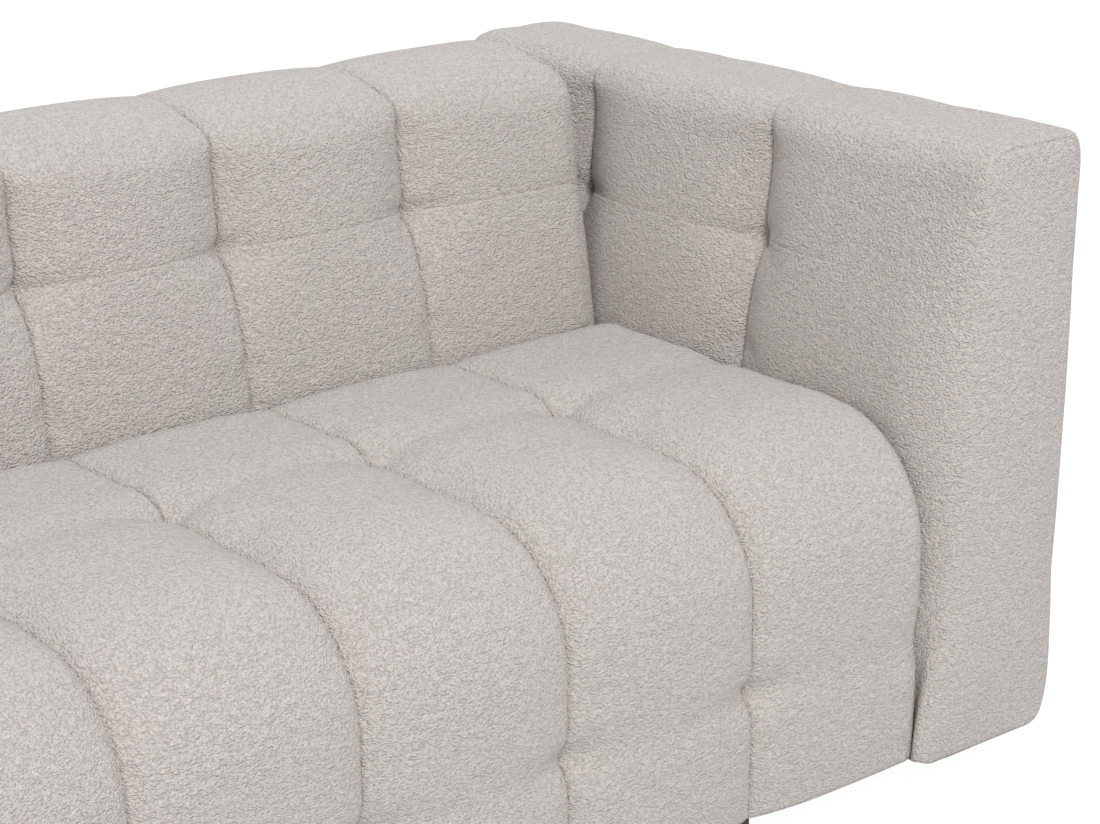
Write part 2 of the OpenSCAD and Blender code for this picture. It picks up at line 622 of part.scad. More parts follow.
// A joining plate lies under a joint, between two screw places
module plate_blank(from, to, room) {
    side = plate_w / 2 + room;
    reach = plate_w / 3 + room;
    block(
        [min(from[0], to[0]) - (from[0] == to[0] ? side : reach),
            min(from[1], to[1]) - (from[1] == to[1] ? side : reach), base_h - plate_t - room],
        [max(from[0], to[0]) + (from[0] == to[0] ? side : reach),
            max(from[1], to[1]) + (from[1] == to[1] ? side : reach), base_h + room]);
}
module plate(from, to) {
    color(steel_tone) difference() {
        plate_blank(from, to, 0);
        for (at = [from, to])
            translate([at[0], front_y + at[1], base_h - plate_t - over])
                cylinder(h = plate_t + 2 * over, d = screw_hole_w, $fn = round_facets);
    }
}
back_side_x = frame_half - board_t / 2;
arm_joints = [for (hand = [-1, 1]) for (i = [0:len(arm_plate_ds) - 1])
    let (inner_x = i < len(arm_plate_ds) - 1 ? seat_rail_x : back_side_x)
    [[hand * inner_x, arm_plate_ds[i]], [hand * plate_bite_x, arm_plate_ds[i]]]];
back_joints = [for (x = back_plate_xs)
    [[x, seat_back_rail_d + rail_t / 2], [x, back_front_rail_d + rail_t / 2]]];
joints_under = concat(arm_joints, back_joints);
joint_places = [for (joint = joints_under) each joint];

module joining_plates() {
    for (joint = joints_under) plate(joint[0], joint[1]);
}

plate_head_w = 2 * plate_screw_w;
plate_head_t = plate_screw_w / 2;
module joining_screws() {
    color(steel_tone) for (at = joint_places)
        translate([at[0], front_y + at[1], base_h - plate_t - plate_head_t]) {
            cylinder(h = plate_head_t, d = plate_head_w, $fn = round_facets);
            cylinder(h = plate_head_t + plate_t + plate_screw_bite, d = plate_screw_w, $fn = round_facets);
        }
}

module seat_front_rail() {
    color(timber_tone) difference() {
        block([-frame_half, seat_front_rail_d, base_h], [frame_half, seat_front_rail_d + rail_t, rail_top]);
        screw_bores(foot_places, foot_screw_hole_w, foot_screw_bite);
    }
}
module seat_back_rail() {
    color(timber_tone) difference() {
        block([-frame_half, seat_back_rail_d, base_h], [frame_half, seat_back_rail_d + rail_t, rail_top]);
        screw_bores(joint_places, screw_hole_w, plate_screw_bite);
    }
}
module seat_side_rail() {
    color(timber_tone) difference() {
        block([frame_half - rail_t, seat_front_rail_d + rail_t, base_h],
            [frame_half, seat_back_rail_d, rail_top]);
        screw_bores(joint_places, screw_hole_w, plate_screw_bite);
    }
}
module seat_stretcher() {
    color(timber_tone) block(
        [rib_x - rail_t / 2, seat_front_rail_d + rail_t, base_h],
        [rib_x + rail_t / 2, seat_back_rail_d, base_h + low_rail_h]);
}
module corner_block(x, d, hand_x, hand_d) {
    translate([x, front_y + d, base_h]) scale([hand_x, hand_d, 1])
        linear_extrude(block_h) polygon([[0, 0], [block_w, 0], [0, block_w]]);
}
module seat_corner_blocks() {
    color(timber_tone) for (hand = [-1, 1]) {
        corner_block(hand * (frame_half - rail_t), seat_back_rail_d, -hand, -1);
        corner_block(hand * (frame_half - rail_t), seat_front_rail_d + rail_t, -hand, 1);
    }
}

// A tuft tie pulls the cover in: twine with a washer at its far end
module seat_tuft_ties() {
    cavity_top = seat_arc_z + seat_core_roll;
    color(twine_tone) for (x = seam_xs) {
        twine_upright(x, seat_tuft_d, twine_t, deck_low - clear - washer_t, cavity_top);
        twine_upright(x, seat_tuft_d, washer_w, deck_low - clear - washer_t, deck_low - clear);
        twine_level(x, seat_tuft_h, twine_t, seat_arc_d - seat_core_roll, seat_front_rail_d);
    }
}

// A dust cover is stapled under a frame, and cut out round the feet and the plates
module dust_cover(from_d, to_d) {
    half = frame_half - hem_w;
    color(cloth_tone) difference() {
        block([-half, from_d, base_h - clear - dust_cover_t], [half, to_d, base_h - clear]);
        for (at = foot_places)
            block([at[0] - foot_w / 2 - over, at[1] - foot_w / 2 - over, 0],
                [at[0] + foot_w / 2 + over, at[1] + foot_w / 2 + over, base_h]);
        for (joint = joints_under) plate_blank(joint[0], joint[1], over);
    }
}
module seat_dust_cover() {
    dust_cover(seat_front_rail_d + hem_w, seat_back_rail_d + rail_t - hem_w);
}

// Back module
back_frame_d = back_core_tuft_d + back_foam_t;
back_strap_d = back_frame_d - clear - strap_t;
back_frame_top = back_h - back_fall - back_rear_roll - cover_t - clear;
back_rib_d = back_front_rail_d + rail_t;
back_inner_half = frame_half - board_t;

module back_cover() {
    color(boucle) tufted_cover(
        back_rows, bench_cols(back_end_roll, back_end_drop), back_core(0), [-core_half, core_half], false);
}
module back_foam() {
    color(foam_tone) difference() {
        across(-frame_half, frame_half) difference() {
            polygon(back_core(clear));
            translate([back_d, base_h - over]) square([sofa_d, back_ledge_h + clear - base_h + over]);
            translate([back_strap_d - clear, base_h]) square([sofa_d, back_frame_top + clear - base_h]);
        }
        for (x = seam_xs) twine_level(x, back_tuft_h, twine_hole_w, back_d, back_frame_d);
    }
}
module back_webbing() {
    color(strap_tone) for (x = spring_xs)
        block([x - strap_w / 2, back_strap_d, back_ledge_h + clear], [x + strap_w / 2, back_strap_d + strap_t,
            back_frame_top]);
}
module back_top_board() {
    color(ply_tone) block([-back_inner_half, back_frame_d, back_frame_top - board_t],
        [back_inner_half, back_frame_rear_d, back_frame_top]);
}
module back_ledge_board() {
    color(ply_tone) block([-back_inner_half, back_front_rail_d, back_ledge_h - board_t],
        [back_inner_half, back_frame_d, back_ledge_h]);
}
module back_front_rail() {
    color(timber_tone) difference() {
        block([-back_inner_half, back_front_rail_d, base_h],
            [back_inner_half, back_rib_d, base_h + low_rail_h]);
        screw_bores(joint_places, screw_hole_w, plate_screw_bite);
    }
}
module back_rear_rail() {
    color(timber_tone) block([-back_inner_half, back_frame_rear_d - rail_t, base_h],
        [back_inner_half, back_frame_rear_d, base_h + low_rail_h]);
}
back_board_outline = [
    [back_front_rail_d, base_h], [back_front_rail_d, back_ledge_h], [back_frame_d, back_ledge_h],
    [back_frame_d, back_frame_top], [back_frame_rear_d, back_frame_top], [back_frame_rear_d, base_h]];
back_rib_outline = [
    [back_rib_d, base_h], [back_rib_d, back_ledge_h - board_t], [back_frame_d, back_ledge_h - board_t],
    [back_frame_d, back_frame_top - board_t], [back_frame_rear_d - rail_t, back_frame_top - board_t],
    [back_frame_rear_d - rail_t, base_h]];
module back_side_board() {
    color(ply_tone) difference() {
        across(frame_half - board_t, frame_half) polygon(back_board_outline);
        screw_bores(joint_places, screw_hole_w, plate_screw_bite);
    }
}
module back_rib() {
    color(ply_tone) across(rib_x - board_t / 2, rib_x + board_t / 2) polygon(back_rib_outline);
}
module back_tuft_ties() {
    color(twine_tone) for (x = seam_xs) {
        twine_level(x, back_tuft_h, twine_t, back_core_tuft_d + clear, back_strap_d + washer_t);
        twine_level(x, back_tuft_h, washer_w, back_strap_d, back_strap_d + washer_t);
    }
}
module back_dust_cover() {
    dust_cover(back_front_rail_d + hem_w, back_frame_rear_d - hem_w);
}
module outside_back() {
    color(boucle) difference() {
        block([-bench_half + cover_t / 2, back_rear_d + clear, base_h + cover_t],
            [bench_half - cover_t / 2, back_rear_d + clear + outside_back_t, outside_back_h - clear]);
        for (hand = [-1, 1])
            translate([hand * (bench_half - cover_t / 2), front_y + back_rear_d + clear + outside_back_t, 0])
                rotate([0, 0, 45])
                    translate([-outside_back_t / 2, -outside_back_t / 2, base_h])
                        cube([outside_back_t, outside_back_t, outside_back_h]);
    }
}

// Arm modules, drawn for the right arm
arm_board_low = base_h + board_t;
arm_front_board_d = arm_end_wall + clear + arm_front_pad;
arm_rear_board_d = sofa_d - arm_end_wall - clear - arm_pad - board_t;
arm_frame_top = arm_core_top - arm_pad;
arm_foam_inset = arm_pad - panel_t - clear;

module arm_cover() {
    color(boucle) tufted_cover(
        arm_rows, arm_cols, arm_core(0, base_h), [arm_end_wall, sofa_d - arm_end_wall], true);
}
arm_panel_in = arm_core_top_in - arm_pad;
module twine_cross(d, width, from_t, to_t) {
    translate([half_w - to_t, front_y + d, arm_tuft_h])
        rotate([0, 90, 0]) cylinder(h = to_t - from_t, d = width, $fn = round_facets);
}
module arm_foam() {
    color(foam_tone) difference() {
        along(arm_end_wall + clear, sofa_d - arm_end_wall - clear) polygon(arm_core(clear, arm_board_low));
        along(arm_front_board_d - clear, arm_rear_board_d + board_t + clear)
            polygon(arm_core(arm_foam_inset, arm_board_low - over));
        for (d = [arm_seam_1_d, arm_seam_2_d]) twine_cross(d, twine_hole_w, arm_panel_in, arm_w);
    }
}
module arm_tuft_ties() {
    color(twine_tone) for (d = [arm_seam_1_d, arm_seam_2_d]) {
        twine_cross(d, twine_t, arm_panel_in - washer_t, arm_core_top_in);
        twine_cross(d, washer_w, arm_panel_in - washer_t, arm_panel_in);
    }
}
module arm_front_board() {
    color(ply_tone) along(arm_front_board_d, arm_front_board_d + board_t)
        polygon(arm_core(arm_pad, arm_board_low));
}
module arm_rear_board() {
    color(ply_tone) along(arm_rear_board_d, arm_rear_board_d + board_t)
        polygon(arm_core(arm_pad, arm_board_low));
}
module arm_top_rail() {
    color(timber_tone) along(arm_front_board_d + board_t, arm_rear_board_d)
        translate([arm_core_out + arm_pad, arm_frame_top - rail_t])
            square([arm_core_top_in - arm_core_cut - arm_core_out - 2 * arm_pad, rail_t]);
}
module arm_base_board() {
    color(ply_tone) difference() {
        along(arm_end_wall + clear, sofa_d - arm_end_wall - clear)
            translate([arm_core_out + clear, base_h])
                square([arm_core_in - arm_core_out - 2 * clear, board_t]);
        screw_bores(joint_places, screw_hole_w, board_t);
        screw_bores(foot_places, foot_screw_hole_w, foot_screw_bite);
    }
}
// A panel covers one side of the arm frame, between two insets of the core
module arm_inner_panel() {
    inner = arm_core(arm_pad, arm_board_low);
    outer = arm_core(arm_pad - panel_t, arm_board_low);
    color(board_tone) difference() {
        along(arm_front_board_d, arm_rear_board_d + board_t)
            polygon([inner[3], inner[4], inner[5], inner[6], outer[6], outer[5], outer[4], outer[3]]);
        for (d = [arm_seam_1_d, arm_seam_2_d]) twine_cross(d, twine_hole_w, arm_panel_in - over, arm_w);
    }
}
module arm_outer_panel() {
    color(board_tone) along(arm_front_board_d, arm_rear_board_d + board_t)
        translate([arm_core_out + arm_pad - panel_t, arm_board_low])
            square([panel_t, arm_frame_top - arm_board_low]);
}

// Feet and their fixings
foot_low = glide_t - over;
foot_head_w = 2 * foot_screw_w;
foot_head_t = foot_screw_w / 2;
foot_floor_z = base_h / 2;
foot_screw_top = base_h + foot_screw_bite;
foot_half = foot_w / 2;
foot_outline = [
    [-foot_half + foot_chamfer, -foot_half], [foot_half - foot_chamfer, -foot_half],
    [foot_half, -foot_half + foot_chamfer], [foot_half, foot_half - foot_chamfer],
    [foot_half - foot_chamfer, foot_half], [-foot_half + foot_chamfer, foot_half],
    [-foot_half, foot_half - foot_chamfer], [-foot_half, -foot_half + foot_chamfer]];
module foot(i) {
    color(plastic_tone) translate([foot_places[i][0], front_y + foot_places[i][1], 0]) difference() {
        translate([0, 0, foot_low]) linear_extrude(base_h - foot_low) polygon(foot_outline);
        translate([0, 0, foot_low - over])
            cylinder(h = glide_t - foot_low + over + clear, d = glide_w + 2 * clear, $fn = round_facets);
        cylinder(h = foot_floor_z, d = foot_head_w + 2 * clear, $fn = round_facets);
        cylinder(h = base_h + over, d = foot_screw_hole_w, $fn = round_facets);
    }
}
module foot_blocks() {
    color(timber_tone) difference() {
        for (hand = [-1, 1]) {
            for (d = [arm_front_board_d + board_t, arm_rear_board_d - block_w])
                block([hand * arm_foot_x - block_w / 2, d, arm_board_low],
                    [hand * arm_foot_x + block_w / 2, d + block_w, arm_board_low + block_h]);
            block([hand * foot_x - block_w / 2, seat_front_rail_d + rail_t, base_h],
                [hand * foot_x + block_w / 2, seat_front_rail_d + rail_t + block_w, base_h + block_h]);
            block([hand * foot_x - block_w / 2, back_foot_d - block_w / 2, base_h],
                [hand * foot_x + block_w / 2, back_foot_d + block_w / 2, base_h + block_h]);
        }
        screw_bores(foot_places, foot_screw_hole_w, foot_screw_bite);
    }
}
module foot_glides() {
    color(felt_tone) for (at = foot_places) translate([at[0], front_y + at[1], 0]) difference() {
        cylinder(h = glide_t, d = glide_w, $fn = round_facets);
        translate([0, 0, -over])
            cylinder(h = glide_t + 2 * over, d = foot_head_w + 2 * clear, $fn = round_facets);
    }
}
module foot_screws() {
    color(steel_tone) for (at = foot_places)
        translate([at[0], front_y + at[1], foot_floor_z - clear - foot_head_t]) {
            cylinder(h = foot_head_t, d = foot_head_w, $fn = round_facets);
            cylinder(h = foot_screw_top - foot_floor_z + clear + foot_head_t, d = foot_screw_w,
                $fn = round_facets);
        }
}

seat_cover();
seat_foam();
seat_deck_pad();
seat_springs();
spring_clips();
spring_tie_wires();
seat_front_rail();
seat_back_rail();
left_side() seat_side_rail();  // seat_side_rail_left
seat_side_rail();  // seat_side_rail_right
left_side() seat_stretcher();  // seat_stretcher_left
seat_stretcher();  // seat_stretcher_right
seat_corner_blocks();
seat_tuft_ties();
seat_dust_cover();
back_cover();
back_foam();
back_webbing();
back_top_board();
back_ledge_board();
back_front_rail();
back_rear_rail();
left_side() back_side_board();  // back_side_board_left
back_side_board();  // back_side_board_right
left_side() back_rib();  // back_rib_left
back_rib();  // back_rib_right
back_tuft_ties();
back_dust_cover();
outside_back();
left_side() arm_cover();  // arm_cover_left
arm_cover();  // arm_cover_right
left_side() arm_foam();  // arm_foam_left
arm_foam();  // arm_foam_right
left_side() arm_front_board();  // arm_front_board_left
arm_front_board();  // arm_front_board_right
left_side() arm_rear_board();  // arm_rear_board_left
arm_rear_board();  // arm_rear_board_right
left_side() arm_top_rail();  // arm_top_rail_left
arm_top_rail();  // arm_top_rail_right
left_side() arm_base_board();  // arm_base_board_left
arm_base_board();  // arm_base_board_right
left_side() arm_inner_panel();  // arm_inner_panel_left
arm_inner_panel();  // arm_inner_panel_right
left_side() arm_outer_panel();  // arm_outer_panel_left
arm_outer_panel();  // arm_outer_panel_right
arm_tuft_ties();
left_side() arm_tuft_ties();
foot_blocks();
foot(0);  // foot_arm_front_left
foot(1);  // foot_arm_front_right
foot(2);  // foot_arm_rear_left
foot(3);  // foot_arm_rear_right
foot(4);  // foot_seat_left
foot(5);  // foot_seat_right
foot(6);  // foot_back_left
foot(7);  // foot_back_right
foot_glides();
foot_screws();
joining_plates();
joining_screws();
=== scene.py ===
import json
import math
import bmesh
import bpy
import numpy as np
from mathutils import Matrix, Vector


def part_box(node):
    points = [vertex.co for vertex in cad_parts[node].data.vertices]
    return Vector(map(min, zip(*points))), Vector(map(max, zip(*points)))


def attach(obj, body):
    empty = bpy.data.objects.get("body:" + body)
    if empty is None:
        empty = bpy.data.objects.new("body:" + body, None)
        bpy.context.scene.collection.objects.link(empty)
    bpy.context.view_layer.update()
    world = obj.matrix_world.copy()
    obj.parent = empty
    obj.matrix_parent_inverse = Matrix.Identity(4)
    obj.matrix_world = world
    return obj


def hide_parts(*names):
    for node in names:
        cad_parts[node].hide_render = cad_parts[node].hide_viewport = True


# Channel-tufted tuxedo sofa. Metres, X along the sofa, the front faces -Y, floor at Z = 0.
# Depths run back from the arms' front; an arm's own widths run in from its outer side.
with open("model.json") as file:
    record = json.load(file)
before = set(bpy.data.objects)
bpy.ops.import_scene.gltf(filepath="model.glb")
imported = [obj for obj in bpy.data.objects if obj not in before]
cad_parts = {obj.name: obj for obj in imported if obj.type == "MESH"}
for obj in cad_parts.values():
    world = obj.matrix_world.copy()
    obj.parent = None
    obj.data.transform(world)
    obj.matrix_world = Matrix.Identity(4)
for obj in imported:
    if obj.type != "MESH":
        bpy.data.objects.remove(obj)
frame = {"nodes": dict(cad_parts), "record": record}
scene = bpy.context.scene
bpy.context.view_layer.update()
nodes = frame["nodes"]
print("frame loaded")

sofa = {
    "halfWidth": 1.130, "front": -0.453, "depth": 0.906, "hem": 0.037, "gap": 0.0003,
    "channels": 7, "armWidth": 0.217, "seatHeight": 0.446, "armHeight": 0.742, "backHeight": 0.748,
    "backDepth": 0.564, "coverThickness": 0.012, "clearance": 0.0006,
}
hem, front, fullDepth, backDepth = (sofa[key] for key in ("hem", "front", "depth", "backDepth"))
seatHeight, armHeight, backHeight = (sofa[key] for key in ("seatHeight", "armHeight", "backHeight"))
armWidth, wall = sofa["armWidth"], sofa["coverThickness"]
benchHalf = sofa["halfWidth"] - armWidth - sofa["gap"]
pitch = 2 * benchHalf / sofa["channels"]
pillowPower = 2.4      # flatness of a pillow's crest
diagonal = 0.7071      # cosine of half a quarter turn
bendIn = 1 - diagonal  # how far the middle of such a turn lies in from its corner, in radii
endSteps = 6           # places on the rounded end of a row of channels
endFullness = 0.8      # least fullness of the outer half of its last pillow
seamReach = 0.012      # a level line fades, and the cover is held, this near to a seam


# Small helpers for profiles and grids
def mix(a, b, share):
    return a + (b - a) * share


def smooth(low, high, value):
    share = np.clip((np.asarray(value, float) - low) / (high - low), 0, 1)
    return share * share * (3 - 2 * share)


def arch(share, softness):
    return np.clip(1 - np.abs(2 * share - 1) ** pillowPower, 0, 1) ** softness


def bell(away, radius):
    return np.exp(-(away / radius) ** 2)


def rollIn(fromEnd, radius, draw):
    lean = np.clip(1 - fromEnd / radius, 0, 1)
    return draw * (1 - np.sqrt(np.clip(1 - lean * lean, 0, 1)))


# Keys of a section are (across, height, sink). Steps are (share of the way, sink) along a straight line
def alongLine(start, end, steps):
    return [[mix(start[0], end[0], share), mix(start[1], end[1], share), sink] for share, sink in steps]


# The same round a quarter turn, from centre + first to centre + last
def roundTurn(centre, first, last, steps):
    keys = []
    for share, sink in steps:
        turn = math.radians(90 * share)
        keys.append([centre[k] + first[k] * math.cos(turn) + last[k] * math.sin(turn) for k in (0, 1)] + [sink])
    return keys


# The same down a face whose place across follows from the height
def alongFace(face, start, end, steps):
    return [[face(z), z, sink] for z, sink in [(mix(start, end, share), sink) for share, sink in steps]]


# Keys with their sink in metres, how deep the crests lie, and what share of an end's draw they take
def scaled(keys, pinch, taken=1):
    return [[a, z, sink * pinch, 0, taken] for a, z, sink in keys]


# A smooth line through keys
def throughKeys(keys, count):
    keys = np.asarray(keys, float)
    steps = np.hypot(*np.diff(keys[:, :2], axis=0).T)
    chord = np.concatenate([[0], np.cumsum(steps)])
    secant = np.diff(keys, axis=0) / steps[:, None]
    before, after = steps[:-1, None], steps[1:, None]
    inner = (secant[:-1] * after + secant[1:] * before) / (before + after)
    tangent = np.vstack([secant[:1], inner, secant[-1:]])
    at = np.linspace(0, chord[-1], count)
    place = np.clip(np.searchsorted(chord, at, side="right") - 1, 0, len(steps) - 1)
    width = steps[place][:, None]
    s = ((at - chord[place]) / steps[place])[:, None]
    return (keys[place] * (2 * s ** 3 - 3 * s ** 2 + 1) + tangent[place] * width * (s ** 3 - 2 * s ** 2 + s)
            + keys[place + 1] * (3 * s ** 2 - 2 * s ** 3) + tangent[place + 1] * width * (s ** 3 - s ** 2))


# Rows of a cover go up one side, over the top and down the other, closer together at its level seams
rowSpacing = {"samples": 4000, "closer": 7, "reach": 0.011}


def coverRows(keys, look, corners, levels):
    dense = throughKeys(keys, rowSpacing["samples"])
    steps = np.hypot(*np.diff(dense[:, :2], axis=0).T)
    length = np.concatenate([[0], np.cumsum(steps)])
    corners, lines = ([length[np.argmin(np.hypot(dense[:, 0] - x, dense[:, 1] - z))] for x, z in places]
                      for places in (corners, levels))
    marks = [0, *corners, length[-1]]
    weight = 1 + sum(rowSpacing["closer"] * bell(length - line, rowSpacing["reach"]) for line in lines)
    load = np.concatenate([[0], np.cumsum((weight[1:] + weight[:-1]) / 2 * np.diff(length))])
    loads = np.interp(marks, length, load)
    at = np.concatenate([np.interp(np.linspace(loads[k], loads[k + 1], count + 1), load, length)[(k > 0):]
                         for k, count in enumerate(look["rows"])])
    for line in lines:
        at[np.argmin(np.abs(at - line))] = line
    rows = np.stack([np.interp(at, length, dense[:, k]) for k in range(dense.shape[1])], axis=1)
    slope = np.stack([np.interp(at, length, np.gradient(dense[:, k], length)) for k in (0, 1)], axis=1)
    slope /= np.hypot(*slope.T)[:, None]
    side = np.stack([-slope[:, 1], slope[:, 0]], axis=1)
    side[0], side[-1] = (-1, 0), (1, 0)
    for line in lines:
        rows[:, 3] += look["crestSink"] * bell(at - line, look["lineReach"])
    return rows, side, at, lines


def gridPoints(x, y, z):
    return np.stack(np.broadcast_arrays(x, y, z), axis=-1)


# The tufted surface: [row, place along the cover, (across, along, height)]
def tuftedSkin(rows, side, spots, rise, low, far, top, extra, push=0):
    sink = mix(rows[:, 2][:, None], rows[:, 3][:, None], rise[None, :]) + extra
    at = rows[:, None, :2] - sink[:, :, None] * side[:, None, :]
    mid = (rows[0, 0] + rows[-1, 0]) / 2
    reach = (rows[-1, 0] - rows[0, 0]) / 2
    inset = rows[:, 4][:, None] * np.where(at[:, :, 0] < mid, low, far)
    tall = rows[:, 1].max() - rows[0, 1]
    across = mid + (at[:, :, 0] - mid) * (1 - inset / reach)
    height = rows[0, 1] + (at[:, :, 1] - rows[0, 1]) * (1 - top / tall)
    return gridPoints(across, spots + push, height)


# The little dimple and the gathers that the twine pulls round each tuft
tuftShape = {"radius": 0.013, "gathers": 5, "from": 0.004, "full": 0.022, "tuftTurn": 1.7, "seamTurn": 2.3}


def tuftPull(along, spots, tufts, seams, look, reach, share=1):
    extra = np.zeros((len(along), len(spots)))
    for number, tuft in enumerate(tufts):
        for place, seam in enumerate(seams):
            up = along[:, None] - tuft
            over = spots[None, :] - seam
            away = np.hypot(up, over)
            turn = (np.arctan2(up, over) * tuftShape["gathers"]
                    + number * tuftShape["tuftTurn"] + place * tuftShape["seamTurn"])
            extra += share * look["dimple"] * bell(away, tuftShape["radius"])
            extra += (share * look["gather"] * np.cos(turn) * np.exp(-away / (reach / 2))
                      * smooth(tuftShape["from"], tuftShape["full"], away))
    return extra


# Places along a row of channels: fine at the seams, wider on the pillows
seamSteps = np.array([0, 0.0007, 0.0022, 0.0045, 0.0078, 0.0125, 0.0190])


def channelSpots(edges, count):
    spots = []
    for a, b in zip(edges[:-1], edges[1:]):
        spots += [a + seamSteps, np.linspace(a + seamSteps[-1], b - seamSteps[-1], count)[1:-1], b - seamSteps[:0:-1]]
    return np.concatenate(spots + [[edges[-1]]])


def fromSeam(spots, seams):
    return np.min(np.abs(spots[None, :] - np.asarray(seams)[:, None]), axis=0)


# The narrow fold where two pillows meet, and the stitched line of a level seam
def creases(along, spots, seams, depth, look, lines):
    near = fromSeam(spots, seams)
    fold = np.outer(depth, rollIn(near, look["creaseWidth"], 1))
    for line in lines:
        stitched = rollIn(np.abs(along - line), look["lineWidth"], look["lineDepth"])
        fold += np.outer(stitched, smooth(0, seamReach, near))
    return fold


def newPiece(name, data):
    piece = bpy.data.objects.new(name, data)
    scene.collection.objects.link(piece)
    return piece


def pieceFrom(name, points, faces, edges=()):
    mesh = bpy.data.meshes.new(name)
    mesh.from_pydata(points, edges, faces)
    return newPiece(name, mesh)


# Four-sided faces of a grid of point numbers
def quads(grid, turned=False):
    grid = np.asarray(grid)
    corners = [grid[:-1, :-1], grid[1:, :-1], grid[1:, 1:], grid[:-1, 1:]]
    if turned:
        corners = [corners[k] for k in (0, 3, 2, 1)]
    return np.stack([c.ravel() for c in corners], axis=1).tolist()


# Welds twin points within a distance and turns every face outwards
def mendMesh(mesh, weld=0):
    work = bmesh.new()
    work.from_mesh(mesh)
    if weld:
        bmesh.ops.remove_doubles(work, verts=work.verts[:], dist=weld)
    bmesh.ops.recalc_face_normals(work, faces=work.faces[:])
    work.to_mesh(mesh)
    work.free()


endSwell = {"power": 3, "from": 0.12}


# One closed cover: tufted skin, end faces, hem turned under, and the hollow for its frame
def coverMesh(name, skin, counts, crown, hollow, ends, place):
    n, m = skin.shape[:2]
    nSide, nTop = counts[:2]
    points = [place(*skin.reshape(-1, 3).T)]
    total = n * m
    index = np.arange(total).reshape(n, m)
    faces = quads(index)
    capBottoms = []
    for column, hand in ((0, -1), (m - 1, 1)):
        grid = np.zeros((nSide + 1, nTop + 1), int)
        grid[:, 0] = index[:nSide + 1, column]
        grid[:, nTop] = index[::-1][:nSide + 1, column]
        grid[nSide] = index[nSide:nSide + nTop + 1, column]
        left, right = skin[:nSide + 1, column], skin[::-1][:nSide + 1, column]
        over = skin[nSide:nSide + nTop + 1, column]
        u, v = np.linspace(0, 1, nTop + 1)[None, :, None], np.linspace(0, 1, nSide + 1)[:, None, None]
        under = mix(left[0], right[0], u)
        patch = ((1 - v) * under + v * over[None] + (1 - u) * left[:, None] + u * right[:, None]
                 - (1 - v) * ((1 - u) * left[0] + u * right[0]) - v * ((1 - u) * left[-1] + u * right[-1]))
        swell = ((1 - np.abs(2 * u - 1) ** endSwell["power"]) * smooth(0, endSwell["from"], v)
                 * (1 - np.clip(2 * v - 1, 0, 1) ** endSwell["power"]))
        patch[:, :, 1:2] += hand * crown * swell
        spare = np.zeros((nSide + 1, nTop + 1), bool)
        spare[:nSide, 1:nTop] = True
        grid[spare] = total + np.arange(spare.sum())
        points.append(place(*patch[spare].T))
        total += len(points[-1])
        faces += quads(grid)
        capBottoms.append(grid[0])
    # The hollow, with as many places along it as the skin has
    section = np.asarray(hollow, float)
    along = mix(ends[0], ends[1], np.linspace(0, 1, m))
    inner = total + np.arange(len(section) * m).reshape(len(section), m)
    across, far = np.meshgrid(section[:, 0], along, indexing="ij")
    points.append(place(across.ravel(), far.ravel(), np.repeat(section[:, 1], m)))
    total += inner.size
    faces += quads(inner, True) + quads([index[0], inner[0]], True) + quads([index[-1], inner[-1]], True)
    for bottom, column in zip(capBottoms, (0, m - 1)):
        low = mix(section[0, 0], section[-1, 0], np.linspace(0, 1, nTop + 1)[1:-1])
        points.append(place(low, np.full(nTop - 1, along[column]), np.full(nTop - 1, section[0, 1])))
        rim = [inner[0, column]] + list(range(total, total + nTop - 1)) + [inner[-1, column]]
        total += nTop - 1
        faces += quads([bottom, rim], True)
        faces.append([int(v) for v in inner[:, column].tolist() + rim[-2:0:-1]])
    piece = pieceFrom(name, np.concatenate(points).tolist(), faces)
    mendMesh(piece.data)
    return piece


def meshPoints(mesh):
    co = np.empty(len(mesh.vertices) * 3)
    mesh.vertices.foreach_get("co", co)
    return co.reshape(-1, 3)


# Seams, hem and hidden faces stay where they are sewn, and so does all but the skin; the pillows are free to fill
sewn = {"hemFrom": 0.01, "hemTo": 0.05, "endTo": 0.03}


def heldBy(piece, rows, spots, seams, hidden):
    seamHold = np.outer(np.clip(rows[:, 2] / seamReach, 0, 1), np.clip(1 - fromSeam(spots, seams) / seamReach, 0, 1))
    hemHold = 1 - smooth(sewn["hemFrom"], sewn["hemTo"], rows[:, 1] - hem)[:, None]
    hold = np.maximum(np.maximum(seamHold, hemHold), hidden)
    held = np.ones(len(piece.data.vertices))
    held[:hold.size] = hold.ravel()
    return held


# A short cloth simulation fills the cover between its seams; its movement is capped
padding = {"frames": 18, "holdSteps": 8}
paddingCloth = {"quality": 5, "mass": 0.3, "vertex_group_mass": "held", "pin_stiffness": 1, "use_pressure": True,
                "uniform_pressure_force": 4.0, "shrink_min": -0.012}


